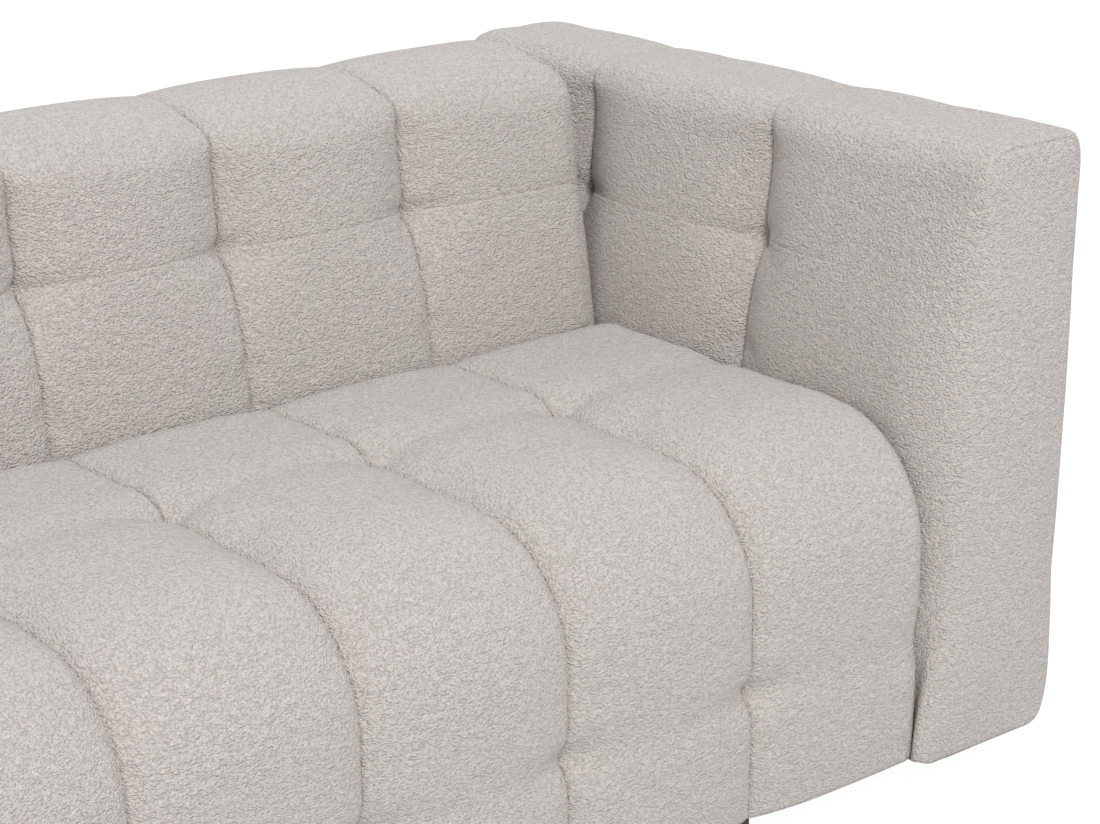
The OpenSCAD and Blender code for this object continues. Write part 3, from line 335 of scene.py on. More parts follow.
def fillWithPadding(piece, held, cap):
    rest = meshPoints(piece.data)
    group = piece.vertex_groups.new(name="held")
    steps = padding["holdSteps"]
    levels = np.round(held * steps).astype(int)
    for level in range(1, steps + 1):
        chosen = np.nonzero(levels == level)[0].tolist()
        if chosen:
            group.add(chosen, level / steps, "REPLACE")
    cloth = piece.modifiers.new("padding", "CLOTH")
    for key, value in paddingCloth.items():
        setattr(cloth.settings, key, value)
    cloth.settings.effector_weights.gravity = 0
    cloth.collision_settings.use_collision = False
    cloth.collision_settings.use_self_collision = False
    cloth.point_cache.frame_start = 1
    cloth.point_cache.frame_end = padding["frames"]
    for number in range(1, padding["frames"] + 1):
        scene.frame_set(number)
    live = piece.evaluated_get(bpy.context.evaluated_depsgraph_get())
    moved = meshPoints(live.data) - rest
    piece.modifiers.remove(cloth)
    piece.vertex_groups.clear()
    scene.frame_set(1)
    size = np.linalg.norm(moved, axis=1)
    keep = (1 - held) * cap / np.maximum(cap, size)
    piece.data.vertices.foreach_set("co", (rest + moved * keep[:, None]).ravel())
    piece.data.update()
    print("filled", piece.name, "most", round(float((size * keep).max()) * 1000, 1), "mm")


# Applies a piece's modifiers to its mesh
def settle(piece):
    live = piece.evaluated_get(bpy.context.evaluated_depsgraph_get())
    mesh = bpy.data.meshes.new_from_object(live)
    piece.modifiers.clear()
    old = piece.data
    piece.data = mesh
    bpy.data.meshes.remove(old)
    mesh.name = piece.name
    for face in mesh.polygons:
        face.use_smooth = True


def rounded(piece):
    finish = piece.modifiers.new("round", "SUBSURF")
    finish.levels = finish.render_levels = 1
    settle(piece)


# Puts a padded piece under the root body and hides the node that it covers
def fitOver(piece, node):
    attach(piece, "root")
    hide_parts(node)


print("helpers ready")

# The camera stands where the photograph was taken from
cameraSpot = {"at": (-1.3754, -2.4215, 1.4353), "yaw": -41.01, "tilt": 71.88, "roll": 0.25, "lens": 94.41}
view = bpy.data.cameras.new("photoCamera")
view.lens = cameraSpot["lens"]
view.sensor_width = 36
camera = newPiece("photoCamera", view)
camera.matrix_world = (
    Matrix.Translation(cameraSpot["at"])
    @ Matrix.Rotation(math.radians(cameraSpot["yaw"]), 4, "Z")
    @ Matrix.Rotation(math.radians(cameraSpot["tilt"]), 4, "X")
    @ Matrix.Rotation(math.radians(cameraSpot["roll"]), 4, "Z"))
scene.camera = camera

# Seat: one cover over seven channels, from the hem over the front roll to the back
seat = {
    "setback": 0.017, "roll": 0.145, "pinch": 0.028, "crestSink": 0.004, "lineReach": 0.030, "tuftHeight": 0.189,
    "tuftDepth": 0.348, "endRoll": 0.024, "endDraw": 0.019, "endTop": 0.024, "endDrop": 0.019, "perChannel": 13,
    "rows": (44, 38, 44), "dimple": 0.003, "gather": 0.0011, "gatherReach": 0.075, "cap": 0.0025, "softness": 0.72,
    "creaseWidth": 0.0065, "lineDepth": 0, "lineWidth": 1,
    "foldDepths": (0.005, 0.006, 0.007, 0.004, 0.0022, 0.0025, 0.007, 0.006), "foldFade": 0.03,
    "rearFlat": 0.030, "rearEase": (0.009, 0.008), "rearDrop": 0.028, "rearHold": (0.05, 0.01),
    "hemTurn": (-0.0026, -0.0014, 0.0004),
}
benchSeams = [c * pitch - benchHalf for c in range(1, sofa["channels"])]


# Places along the seat or the back, how full each is, and how its ends draw in
def benchPlaces(look):
    near = look["endRoll"] * (1 - np.cos(0.5 * math.pi * np.arange(endSteps) / endSteps))
    edges = [-benchHalf + look["endRoll"], *benchSeams, benchHalf - look["endRoll"]]
    spots = np.concatenate([near - benchHalf, channelSpots(edges, look["perChannel"]), benchHalf - near[::-1]])
    place = (spots + benchHalf) / pitch
    rise = arch(place - np.floor(np.clip(place, 0, sofa["channels"] - 1e-9)), look["softness"])
    outer = (place < 0.5) | (place > sofa["channels"] - 0.5)
    rise = np.where(outer, mix(endFullness, 1, rise), rise)
    fromEnd = np.maximum(0, benchHalf - np.abs(spots))
    draw = rollIn(fromEnd, look["endRoll"], look["endDraw"])[None, :]
    topDrop = rollIn(fromEnd, look["endTop"], look["endDrop"])[None, :]
    endHold = (1 - smooth(0, sewn["endTo"], fromEnd))[None, :]
    return spots, rise, draw, topDrop, endHold


def acrossSofa(a, x, z):
    return gridPoints(x, front + a, z)


# A cover across the sofa. foldOf gives the folds' depths along its rows, holdOf the rows that stay still
def benchCover(name, look, keys, corners, levels, hollow, foldOf, holdOf):
    rows, side, along, tufts = coverRows(scaled(keys, look["pinch"]), look, corners, levels)
    spots, rise, draw, topDrop, endHold = benchPlaces(look)
    pull = tuftPull(along, spots, tufts, benchSeams, look, look["gatherReach"])
    pull += creases(along, spots, benchSeams, foldOf(rows, along, tufts), look, tufts)
    skin = tuftedSkin(rows, side, spots, rise, draw, draw, topDrop, pull)
    cover = coverMesh(name, skin, look["rows"], 0, hollow, (wall - benchHalf, benchHalf - wall), acrossSofa)
    hidden = np.maximum(endHold, holdOf(rows)[:, None])
    fillWithPadding(cover, heldBy(cover, rows, spots, benchSeams, hidden), look["cap"])
    rounded(cover)
    return cover


seatRear = backDepth - sofa["gap"]
arcDepth = seat["setback"] + seat["roll"]
arcHeight = seatHeight - seat["roll"]
frontTuft = (seat["setback"], seat["tuftHeight"])
topTuft = (seat["tuftDepth"], seatHeight)
rearEdge = (seatRear - seat["rearEase"][0], seatHeight - seat["rearEase"][1])
seatKeys = alongLine((seat["setback"], hem), frontTuft, ((0, 0.5), (0.3, 0.46), (0.55, 0.46), (0.85, 0.56), (1, 1)))
seatKeys += alongLine(frontTuft, (seat["setback"], arcHeight), ((0.2, 0.6), (0.6, 0.54), (1, 0.6)))
seatKeys += roundTurn((arcDepth, arcHeight), (-seat["roll"], 0), (0, seat["roll"]),
                      ((0.1, 0.68), (0.2, 0.75), (0.4, 0.9), (0.6, 0.96), (0.8, 1), (1, 1)))
seatKeys += alongLine((arcDepth, seatHeight), topTuft, ((0.45, 0.93), (0.85, 0.84), (1, 1)))
seatKeys += alongLine(topTuft, (seatRear - seat["rearFlat"], seatHeight),
                      ((0.12, 0.45), (0.45, 0.25), (0.8, 0.26), (1, 0.28)))
seatKeys += [[*rearEdge, 0.25], [seatRear, seatHeight - seat["rearDrop"], 0.1], [seatRear, 0.3, 0], [seatRear, hem, 0]]

# Its hollow. The hem turns in under the foam as far as the front rail
coreRoll = seat["roll"] - seat["pinch"] - wall
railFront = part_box("seat_front_rail")[0][1] - front
seatHollow = [[a, hem + up] for a, up in zip((railFront, railFront, arcDepth - coreRoll), seat["hemTurn"])]
seatHollow += [key[:2] for key in roundTurn((arcDepth, arcHeight), (-coreRoll, 0), (0, coreRoll),
                                            [(share, 0) for share in (0, 0.2, 0.4, 0.6, 0.8, 1)])]
seatHollow += [[seatRear - wall, arcHeight + coreRoll], [seatRear - wall, hem]]


def seatFold(rows, along, tufts):
    low, high = tufts
    fold = np.interp(along, (0, 0.08, low, 0.30, 0.42, high - 0.06, high, high + 0.2), seat["foldDepths"])
    return fold * smooth(0, seat["foldFade"], seatRear - rows[:, 0])


def seatHold(rows):
    return smooth(*[seatRear - away for away in seat["rearHold"]], rows[:, 0])


seatCover = benchCover(
    "seatCover", seat, seatKeys,
    ((arcDepth - diagonal * seat["roll"], arcHeight + diagonal * seat["roll"]), rearEdge), (frontTuft, topTuft),
    seatHollow, seatFold, seatHold)
fitOver(seatCover, "seat_cover")
print("seat cover made")

# Back: leaning tufted face, soft top rolls, and a recess behind for the outside back
back = {
    "lean": 0.045, "fall": 0.008, "endRoll": 0.024, "endDraw": 0.019, "endTop": 0.050, "endDrop": 0.018,
    "roll": 0.045, "rearRoll": 0.045, "dome": 0.014, "rearStart": 0.170, "rearDrop": 0.105, "rearCurve": 0.9,
    "pinch": 0.039, "line": 0.005, "crestSink": 0.0015, "lineReach": 0.022, "tuftHeight": 0.610, "panel": 0.008,
    "panelTop": 0.645, "perChannel": 13, "rows": (60, 24, 60), "dimple": 0.007, "gather": 0.0014,
    "gatherReach": 0.09, "cap": 0.003, "softness": 0.75, "creaseWidth": 0.006, "lineDepth": 0.0016,
    "lineWidth": 0.0035, "foldSteps": (-0.3, -0.2, 0, 0.1, 0.25, 0.36, 0.42),
    "foldDepths": (0, 0.006, 0.007, 0.006, 0.004, 0.003, 0), "lowHold": 0.02, "topShare": 0.28, "bend": 0.4,
}
faceLow = seatHeight - back["line"] - wall
rollHigh = backHeight - back["roll"]
rollDepth = backDepth + back["lean"] + back["roll"]
backRear = fullDepth - back["panel"] - sofa["clearance"]
domeHeight = backHeight + back["dome"]


def backFace(z):
    return backDepth + back["lean"] * (z - faceLow) / (rollHigh - faceLow)


backKeys = [[backDepth, hem, 0], [backDepth, 0.25, 0], [backDepth, faceLow - 0.03, 0.02]]
backKeys += alongFace(backFace, faceLow, back["tuftHeight"],
                      ((0, 0.15), (0.2, 0.15), (0.45, 0.16), (0.72, 0.36), (0.9, 0.66), (1, 0.92)))
backKeys += alongFace(backFace, back["tuftHeight"], rollHigh, ((0.16, 0.8), (0.5, 0.8), (1, 0.75)))
backKeys += roundTurn((rollDepth, rollHigh), (-back["roll"], 0), (0, back["roll"]),
                      ((0.2, 0.7), (0.4, 0.6), (0.6, 0.48), (0.8, 0.36), (1, 0.28)))
for share, sink in ((0.35, 0.24), (0.7, 0.2), (1, 0.18)):
    backKeys.append([mix(rollDepth, fullDepth - back["rearStart"], share),
                     backHeight + back["dome"] * math.sin(math.radians(90 * share)), sink])
for share in (0.2, 0.4, 0.6, 0.8, 1):
    turn = math.radians(90 * share)
    backKeys.append([fullDepth - back["rearStart"] * (1 - math.sin(turn)),
                     domeHeight - back["rearDrop"] * (1 - math.cos(turn)) ** back["rearCurve"], 0.18])
backKeys += [[fullDepth - 0.001, back["panelTop"] + 0.009, 0], [backRear + 0.001, back["panelTop"] + 0.001, 0]]
backKeys += [[backRear, z, 0] for z in (back["panelTop"] - 0.01, 0.5, 0.2, hem)]
coreTop = backHeight - back["pinch"] * back["topShare"] - wall
bendHeight = mix(faceLow, back["tuftHeight"], back["bend"])
backHollow = [[backDepth + wall, hem], [backDepth + wall, faceLow - wall]]
backHollow += [[backFace(z) + back["pinch"] * share + wall, z]
               for z, share in ((bendHeight, 0.16), (back["tuftHeight"], 1), (rollHigh, 0.84))]
backHollow += [[rollDepth, coreTop], [fullDepth - back["rearRoll"], coreTop - back["fall"]],
               [backRear - wall, backHeight - back["fall"] - back["rearRoll"] - wall], [backRear - wall, hem]]


def backFold(rows, along, tufts):
    return np.interp(along, [tufts[0] + step for step in back["foldSteps"]], back["foldDepths"])


def backHold(rows):
    return (rows[:, 1] < faceLow - back["lowHold"]).astype(float)


backCover = benchCover(
    "backCover", back, backKeys,
    ((rollDepth - diagonal * back["roll"], rollHigh + diagonal * back["roll"]),
     (fullDepth - bendIn * back["rearStart"], domeHeight - 0.33 * back["rearDrop"])),
    ((backFace(back["tuftHeight"]), back["tuftHeight"]),), backHollow, backFold, backHold)
fitOver(backCover, "back_cover")
print("back cover made")

# Arms: a broad pillow in front, two upright seams, two level seams, and a soft rear corner
arm = {
    "topWidth": 0.178, "kneeHeight": 0.450, "kneeCurve": 1.6, "rollIn": 0.045, "rollOut": 0.022, "edgeRoll": 0.036,
    "edgeDraw": 0.031, "innerRoll": 0.084, "innerDraw": 0.050, "endDrop": 0.014, "endWall": 0.014, "pinch": 0.055,
    "sidePinch": 0.018, "topSink": 0.005, "topKey": 0.08, "topMiddle": 0.09, "crestSink": 0.001, "lineReach": 0.032,
    "tuftHeight": 0.585, "lowLine": 0.225, "seams": (0.346, 0.658), "tuck": 0.020, "tuckHeight": 0.050,
    "rearRoll": 0.060, "rearDrop": 0.012, "rows": (64, 16, 64), "perPart": 15, "crown": 0.006, "dimple": 0.010,
    "gather": 0.002, "gatherReach": (0.12, 0.08), "cap": 0.002, "softness": 0.8, "creaseWidth": 0.006,
    "lineDepth": 0.0009, "lineWidth": 0.004, "foldDepths": (0.001, 0.004, 0.003, 0.002, 0.003, 0.004, 0.003),
    "innerFrom": 0.05, "frontSpots": (0.0100, 0.0140, 0.0190, 0.0250, 0.0305), "leastTaken": 0.2,
    "flare": 0.006, "flareFade": (0.10, 0.02), "flareHeights": (0.037, 0.09, 0.16, 0.225, 0.30, 0.45, 0.75),
    "flareShares": (0, 0.6, 0.5, 0, 0.4, 1, 1), "frontHeights": (0.037, 0.12, 0.26, 0.55, 0.66, 0.71, 0.742),
    "frontRadii": (0.030, 0.055, 0.086, 0.088, 0.060, 0.036, 0.030),
    "frontDraws": (0.018, 0.034, 0.052, 0.052, 0.042, 0.030, 0.024),
    "bulge": 0.026, "bulgeHeights": (0.06, 0.24), "bulgeDepths": (0.010, 0.034),
    "seatLevel": 0.42, "seatFrom": (0.02, 0.05), "frontHold": 0.03, "frontGive": 0.3,
}
dart = {"place": 0.0046, "width": 0.0026, "depth": 0.0036, "slant": 0.7, "reach": (0.070, 0.090), "stitched": 0.9}
armTop = armHeight - arm["rollIn"]
tuckTop = hem + arm["tuckHeight"]
outerTop = armHeight - arm["rollOut"]
armSide = armWidth - sofa["clearance"]


def armInner(z):
    above = max(0, z - arm["kneeHeight"]) / (armTop - arm["kneeHeight"])
    return armSide - (armWidth - arm["topWidth"]) * above ** arm["kneeCurve"]


def alongRightArm(t, d, z):
    return gridPoints(sofa["halfWidth"] - t, front + d, z)


armKeys = scaled(
    roundTurn((arm["tuck"], tuckTop), (0, -arm["tuckHeight"]), (-arm["tuck"], 0),
              ((0, 0.3), (0.3, 0.36), (0.6, 0.4), (1, 0.45)))
    + alongLine((0, tuckTop), (0, arm["lowLine"]), ((0.5, 0.5), (0.85, 0.7), (1, 1)))
    + alongLine((0, arm["lowLine"]), (0, arm["tuftHeight"]), ((0.1, 0.7), (0.35, 0.5), (0.65, 0.5), (0.9, 0.7), (1, 1)))
    + alongLine((0, arm["tuftHeight"]), (0, outerTop), ((0.25, 0.65), (0.6, 0.5), (1, 0.5))), arm["sidePinch"])
armKeys += scaled(
    roundTurn((arm["rollOut"], outerTop), (-arm["rollOut"], 0), (0, arm["rollOut"]),
              ((0.25, 1), (0.5, 1), (0.75, 1), (1, 1))) + [[arm["topKey"], armHeight, 1]], arm["topSink"])
armKeys += scaled(
    roundTurn((arm["topWidth"] - arm["rollIn"], armTop), (0, arm["rollIn"]), (arm["rollIn"], 0),
              ((0, 0.10), (0.25, 0.16), (0.5, 0.28), (0.75, 0.42), (1, 0.54)))
    + alongFace(armInner, armTop, arm["tuftHeight"], ((0.35, 0.68), (0.65, 0.74), (0.88, 0.82), (1, 0.88)))
    + alongFace(armInner, arm["tuftHeight"], arm["kneeHeight"], ((0.16, 0.78), (0.36, 0.66), (0.65, 0.56), (1, 0.5))),
    arm["pinch"])
for share, sink, taken in ((0.12, 0.3, 1), (0.5, 0.1, 0.9), (0.85, 0.1, 0.7), (1, 0.1, 0.45)):
    armKeys += scaled([[armSide, mix(arm["kneeHeight"], hem, share), sink]], arm["pinch"], taken)
rows, side, along, armLines = coverRows(
    armKeys, arm,
    ((bendIn * arm["rollOut"], armHeight - bendIn * arm["rollOut"]),
     (arm["topWidth"] - bendIn * arm["rollIn"], armHeight - bendIn * arm["rollIn"])),
    ((0, arm["lowLine"]), (0, arm["tuftHeight"]), (armInner(arm["tuftHeight"]), arm["tuftHeight"])))
inner = along > along[np.argmax(rows[:, 1])] + arm["innerFrom"]
flare = np.interp(rows[:, 1], arm["flareHeights"], arm["flareShares"])
rows[:, 0] -= arm["flare"] * flare * ~inner * smooth(*arm["flareFade"], rows[:, 0])
first, second = arm["seams"]
dartSteps = dart["place"] + dart["width"] * np.array([-1, -0.6, -0.25, 0, 0.25, 0.6, 1])
near = np.concatenate([[0, 0.0008], dartSteps, arm["frontSpots"],
                       np.linspace(arm["edgeRoll"], arm["innerRoll"], 5)[:-1]])
edges = [arm["innerRoll"], first, second, fullDepth - arm["innerRoll"]]
spots = np.concatenate([near, channelSpots(edges, arm["perPart"]), fullDepth - near[::-1]])
place = np.where(spots < first, np.minimum(0.5, (first - spots) / pitch),
                 np.where(spots < second, (spots - first) / (second - first),
                          np.minimum(0.5, (spots - second) / pitch)))
rise = arch(place, arm["softness"])
fromEnd = np.minimum(spots, fullDepth - spots)
atFront = spots < fullDepth / 2
radius, depth = (
    np.where(atFront[None, :], np.interp(rows[:, 1], arm["frontHeights"], arm[before])[:, None], arm[behind])
    for before, behind in (("frontRadii", "innerRoll"), ("frontDraws", "innerDraw")))
taken = np.maximum(rows[:, 4][:, None], arm["leastTaken"])
far = rollIn(fromEnd[None, :], radius, depth)
far = np.where(atFront[None, :], far / taken, far)
bulge = np.outer(arm["bulge"] * (1 - smooth(*arm["bulgeHeights"], rows[:, 1])), 1 - smooth(*arm["bulgeDepths"], spots))
far = far - bulge / taken
lowIn = rollIn(fromEnd, arm["edgeRoll"], arm["edgeDraw"])[None, :]
topDrop = np.where(atFront, rollIn(fromEnd, arm["endDrop"], arm["endDrop"]),
                   rollIn(fromEnd, arm["rearRoll"], arm["rearDrop"]))[None, :]
pull = tuftPull(along, spots, armLines[2:], arm["seams"], arm, arm["gatherReach"][0])
pull += tuftPull(along, spots, armLines[:2], arm["seams"], arm, arm["gatherReach"][1], 0.5)
middle = along[np.argmin(np.hypot(rows[:, 0] - arm["topMiddle"], rows[:, 1] - armHeight))]
armFold = np.interp(along, (0, 0.03, middle - 0.1, middle, middle + 0.1, armLines[2], armLines[2] + 0.2),
                    arm["foldDepths"])
pull += creases(along, spots, arm["seams"], armFold, arm, armLines)
# The dart runs over the front end of the top and pushes its cloth in and back
onTop = 1 - smooth(*dart["reach"], np.abs(along - middle))
slant = dart["slant"] * np.outer(onTop, rollIn(np.abs(spots - dart["place"]), dart["width"], dart["depth"]))
skin = tuftedSkin(rows, side, spots, rise, lowIn, far, topDrop, pull + slant, slant)
coreOut, coreIn = arm["sidePinch"] + wall, armWidth - 0.5 * arm["pinch"] - wall
coreTopIn = armInner(arm["tuftHeight"]) - arm["pinch"] - wall
coreHigh = armHeight - arm["topSink"] - wall
cut = arm["rollIn"] / 2
armHollow = [[coreOut, hem], [coreOut, coreHigh], [coreTopIn - cut, coreHigh], [coreTopIn, coreHigh - cut],
             [coreTopIn, arm["tuftHeight"]], [coreIn, mix(arm["kneeHeight"], arm["tuftHeight"], 0.1)],
             [coreIn, hem]]
armCover = coverMesh("armCoverRight", skin, arm["rows"], arm["crown"], armHollow,
                     (arm["endWall"], fullDepth - arm["endWall"]), alongRightArm)
belowSeat = np.outer(inner & (rows[:, 1] < arm["seatLevel"]), smooth(*arm["seatFrom"], spots))
frontHold = 1 - smooth(arm["frontHold"], arm["innerRoll"], spots)[None, :]
held = heldBy(armCover, rows, spots, arm["seams"], np.maximum(belowSeat, frontHold))
ends = slice(rows.shape[0] * len(spots), rows.shape[0] * len(spots) + 2 * arm["rows"][0] * (arm["rows"][1] - 1))
height = meshPoints(armCover.data)[ends, 2]
held[ends] = 1 - arm["frontGive"] * smooth(sewn["hemFrom"], sewn["hemTo"], height - hem)
fillWithPadding(armCover, held, arm["cap"])
rounded(armCover)
# Rounding keeps the first points of the mesh, so the dart's points are found by row and place
dartColumn = int(np.argmin(np.abs(spots - dart["place"])))
dartPath = meshPoints(armCover.data)[np.nonzero(onTop > dart["stitched"])[0] * len(spots) + dartColumn]
mirrored = armCover.data.copy()
mirrored.name = "armCoverLeft"
mirrored.transform(Matrix.Scale(-1, 4, (1, 0, 0)))
mirrored.flip_normals()
armCoverLeft = newPiece("armCoverLeft", mirrored)
for piece, node in ((armCover, "arm_cover_right"), (armCoverLeft, "arm_cover_left")):
    fitOver(piece, node)
print("arm covers made")

# Outside back: a thin padded panel with soft edges, set flush into the back cover
panel = {"edge": 0.006, "crown": 0.0015, "step": 0.018, "flatness": 6}


def softPanel(name, low, high):
    low, high = np.array(low), np.array(high)
    span, edge = high - low, panel["edge"]
    u, w = (np.concatenate([[0, edge / span[k] / 2],
                            np.linspace(edge / span[k], 1 - edge / span[k], max(2, round(span[k] / panel["step"]))),
                            [1 - edge / span[k] / 2, 1]]) for k in (0, 2))
    fromSide = np.minimum(np.minimum(u, 1 - u)[:, None] * span[0], np.minimum(w, 1 - w)[None, :] * span[2])
    thick = np.sqrt(np.clip(1 - np.clip(1 - fromSide / edge, 0, 1) ** 2, 0, 1))
    across, up = (1 - np.abs(2 * share - 1) ** panel["flatness"] for share in (u, w))
    swell = np.outer(panel["crown"] * across, up)
    mid = (low[1] + high[1]) / 2
    x, z = (low[0] + u * span[0])[:, None], (low[2] + w * span[2])[None, :]
    outer = gridPoints(x, mid + thick * span[1] / 2 + swell, z).reshape(-1, 3)
    innerSide = gridPoints(x, mid - thick * span[1] / 2, z).reshape(-1, 3)
    index = np.arange(thick.size).reshape(thick.shape)
    faces = [face for pair in zip(quads(index), quads(index + thick.size, True)) for face in pair]
    piece = pieceFrom(name, np.concatenate([outer, innerSide]).tolist(), faces)
    mendMesh(piece.data, 1e-6)
    return piece


outsideBack = softPanel("outsideBack", *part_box("outside_back"))
rounded(outsideBack)
fitOver(outsideBack, "outside_back")
print("outside back made")


# Materials. Every pattern reads Object coordinates, so it stays with its piece.
# A wire's value is a number, a socket, or a node whose first output is meant
def feed(tree, item, wires):
    for key, value in wires.items():
        if isinstance(value, bpy.types.Node):
            value = value.outputs[0]
        if isinstance(value, bpy.types.NodeSocket):
            tree.links.new(value, item.inputs[key])
        else:
            item.inputs[key].default_value = value


def addNode(tree, kind, wires, **settings):
    item = tree.nodes.new(kind)
    for key, value in settings.items():
        setattr(item, key, value)
    feed(tree, item, wires)
    return item


def shade(tree, kind, wires, **settings):
    return addNode(tree, "ShaderNode" + kind, wires, **settings)


# Arithmetic on numbers or vectors
def reckon(tree, operation, *values, kind="Math"):
    return shade(tree, kind, dict(enumerate(values)), operation=operation)


def ramp(tree, value, stops):
    item = shade(tree, "ValToRGB", {"Fac": value})
    band = item.color_ramp.elements
    while len(band) < len(stops):
        band.new(0.5)
    for element, (place, colour) in zip(band, stops):
        element.position = place
        element.color = (*colour, 1)
    return item


def newMaterial(name, colour):
    material = bpy.data.materials.new(name)
    material.use_nodes = True
    material.diffuse_color = (*colour, 1)
    tree = material.node_tree
    shader = tree.nodes["Principled BSDF"]
    feed(tree, shader, {"Base Color": (*colour, 1)})
    return material, tree, shader, shade(tree, "TexCoord", {}).outputs["Object"]


# Looped pile: small grains and larger clumps in rough level rows, with painted shade darkening the pits between them
boucleLook = {
    "grain": 400.0, "clump": 140.0, "fibre": 1500.0, "rowLength": 75.0, "rowHeight": 3.4, "drift": 110.0,
    "driftReach": 0.006, "squash": (0.8, 0.8, 1.2), "depth": 0.0033, "shares": (0.62, 0.26, 0.56, 0.08),
    # dark is painted shade for the pits between the loops; light is the cloth's own colour
    "light": (0.636, 0.587, 0.556), "dark": (0.45, 0.410, 0.382), "stops": (0.08, 0.34, 0.6), "lightShare": 0.8,
    "roughness": 0.95, "specular": 0.12, "sheen": 0.30, "sheenRoughness": 0.6,
}


def boucleMaterial():
    look = boucleLook
    material, tree, shader, coords = newMaterial("boucle", look["light"])
    drift = shade(tree, "TexNoise", {"Vector": coords, "Scale": look["drift"], "Detail": 2.0})
    off = reckon(tree, "SUBTRACT", drift.outputs["Color"], (0.5, 0.5, 0.5), kind="VectorMath")
    off = shade(tree, "VectorMath", {0: off, "Scale": look["driftReach"]}, operation="SCALE")
    warped = reckon(tree, "ADD", coords, off, kind="VectorMath")
    level = shade(tree, "Mapping", {"Vector": warped, "Scale": look["squash"]})
    drawn = shade(tree, "Mapping", {"Vector": warped, "Scale": (1, 1, look["rowHeight"])})
    grain = shade(tree, "TexVoronoi", {"Vector": level, "Scale": look["grain"]})
    clump = shade(tree, "TexVoronoi", {"Vector": level, "Scale": look["clump"]})
    rows = shade(tree, "TexNoise", {"Vector": drawn, "Scale": look["rowLength"], "Detail": 3.0})
    fibre = shade(tree, "TexNoise", {"Vector": coords, "Scale": look["fibre"], "Detail": 2.0})
    grainUp, clumpUp = (
        shade(tree, "MapRange", {"Value": cells.outputs["Distance"], "From Min": pit, "From Max": 0.1})
        for cells, pit in ((grain, 0.85), (clump, 0.8)))
    height = reckon(tree, "MULTIPLY", grainUp, look["shares"][0])
    for value, share in zip((clumpUp, rows.outputs["Fac"], fibre.outputs["Fac"]), look["shares"][1:]):
        height = reckon(tree, "MULTIPLY_ADD", value, share, height)
    # The colour runs from light on the loops to dark in the pits: painted shade in the hollows of the pile
    between = [mix(a, b, look["lightShare"]) for a, b in zip(look["dark"], look["light"])]
    colours = list(zip(look["stops"], (look["dark"], between, look["light"])))
    feed(tree, shader, {"Base Color": ramp(tree, grainUp, colours)})
    bump = shade(tree, "Bump", {"Height": height, "Strength": 1.0, "Distance": look["depth"]})
    feed(tree, shader, {"Normal": bump, "Roughness": look["roughness"], "Specular IOR Level": look["specular"],
                        "Sheen Weight": look["sheen"], "Sheen Roughness": look["sheenRoughness"]})
    return material


# Groups that several materials share, and trees of Geometry Nodes
def newGroup(name, inputs, outputs, kind="ShaderNodeTree"):
    tree = bpy.data.node_groups.new(name, kind)
    for label, sort, value in inputs:
        socket = tree.interface.new_socket(name=label, in_out="INPUT", socket_type="NodeSocket" + sort)
        if value is not None:
            socket.default_value = value
    for label, sort in outputs:
        tree.interface.new_socket(name=label, in_out="OUTPUT", socket_type="NodeSocket" + sort)
    return tree, tree.nodes.new("NodeGroupInput"), tree.nodes.new("NodeGroupOutput")


def grainGroup():
    tree, ins, outs = newGroup(
        "woodGrain", [("Vector", "Vector", None), ("Scale", "Float", 9.0), ("Stretch", "Float", 0.06)],
        [("Rings", "Float"), ("Pores", "Float")])
    along = shade(tree, "CombineXYZ", {0: ins.outputs["Stretch"], 1: 1.0, 2: 1.0})
    grown = reckon(tree, "MULTIPLY", ins.outputs["Vector"], along, kind="VectorMath")
    drift = shade(tree, "TexNoise", {"Vector": grown, "Scale": 6.0, "Detail": 3.0})
    push = shade(tree, "VectorMath", {0: drift.outputs["Color"], "Scale": 0.12}, operation="SCALE")
    bent = reckon(tree, "ADD", grown, push, kind="VectorMath")
    rings = shade(tree, "TexWave", {"Vector": bent, "Scale": ins.outputs["Scale"], "Distortion": 3.0, "Detail": 3.0},
                  bands_direction="Z")
    pores = shade(tree, "TexNoise", {"Vector": grown, "Scale": 420.0, "Detail": 2.0})
    feed(tree, outs, {"Rings": rings.outputs["Fac"], "Pores": pores.outputs["Fac"]})
    return tree


def weaveGroup():
    tree, ins, outs = newGroup("plainWeave", [("Vector", "Vector", None), ("Threads", "Float", 900.0)],
                               [("Height", "Float"), ("Lint", "Float")])
    threads = {"Vector": ins.outputs["Vector"], "Scale": ins.outputs["Threads"], "Distortion": 0.6}
    bands = [shade(tree, "TexWave", threads, bands_direction=axis).outputs["Fac"] for axis in "XYZ"]
    height = reckon(tree, "MULTIPLY", reckon(tree, "MAXIMUM", *bands[:2]), bands[2])
    lint = shade(tree, "TexNoise", {"Vector": ins.outputs["Vector"], "Scale": 60.0, "Detail": 4.0})
    feed(tree, outs, {"Height": height, "Lint": lint.outputs["Fac"]})
    return tree


def speckGroup():
    tree, ins, outs = newGroup("pressedFibre", [("Vector", "Vector", None), ("Scale", "Float", 500.0)],
                               [("Height", "Float"), ("Specks", "Float")])
    place = {"Vector": ins.outputs["Vector"], "Scale": ins.outputs["Scale"]}
    cells = shade(tree, "TexVoronoi", place)
    fine = shade(tree, "TexNoise", {**place, "Detail": 4.0})
    feed(tree, outs, {"Height": cells.outputs["Distance"], "Specks": fine.outputs["Fac"]})
    return tree


groups = {"grain": grainGroup(), "weave": weaveGroup(), "speck": speckGroup()}

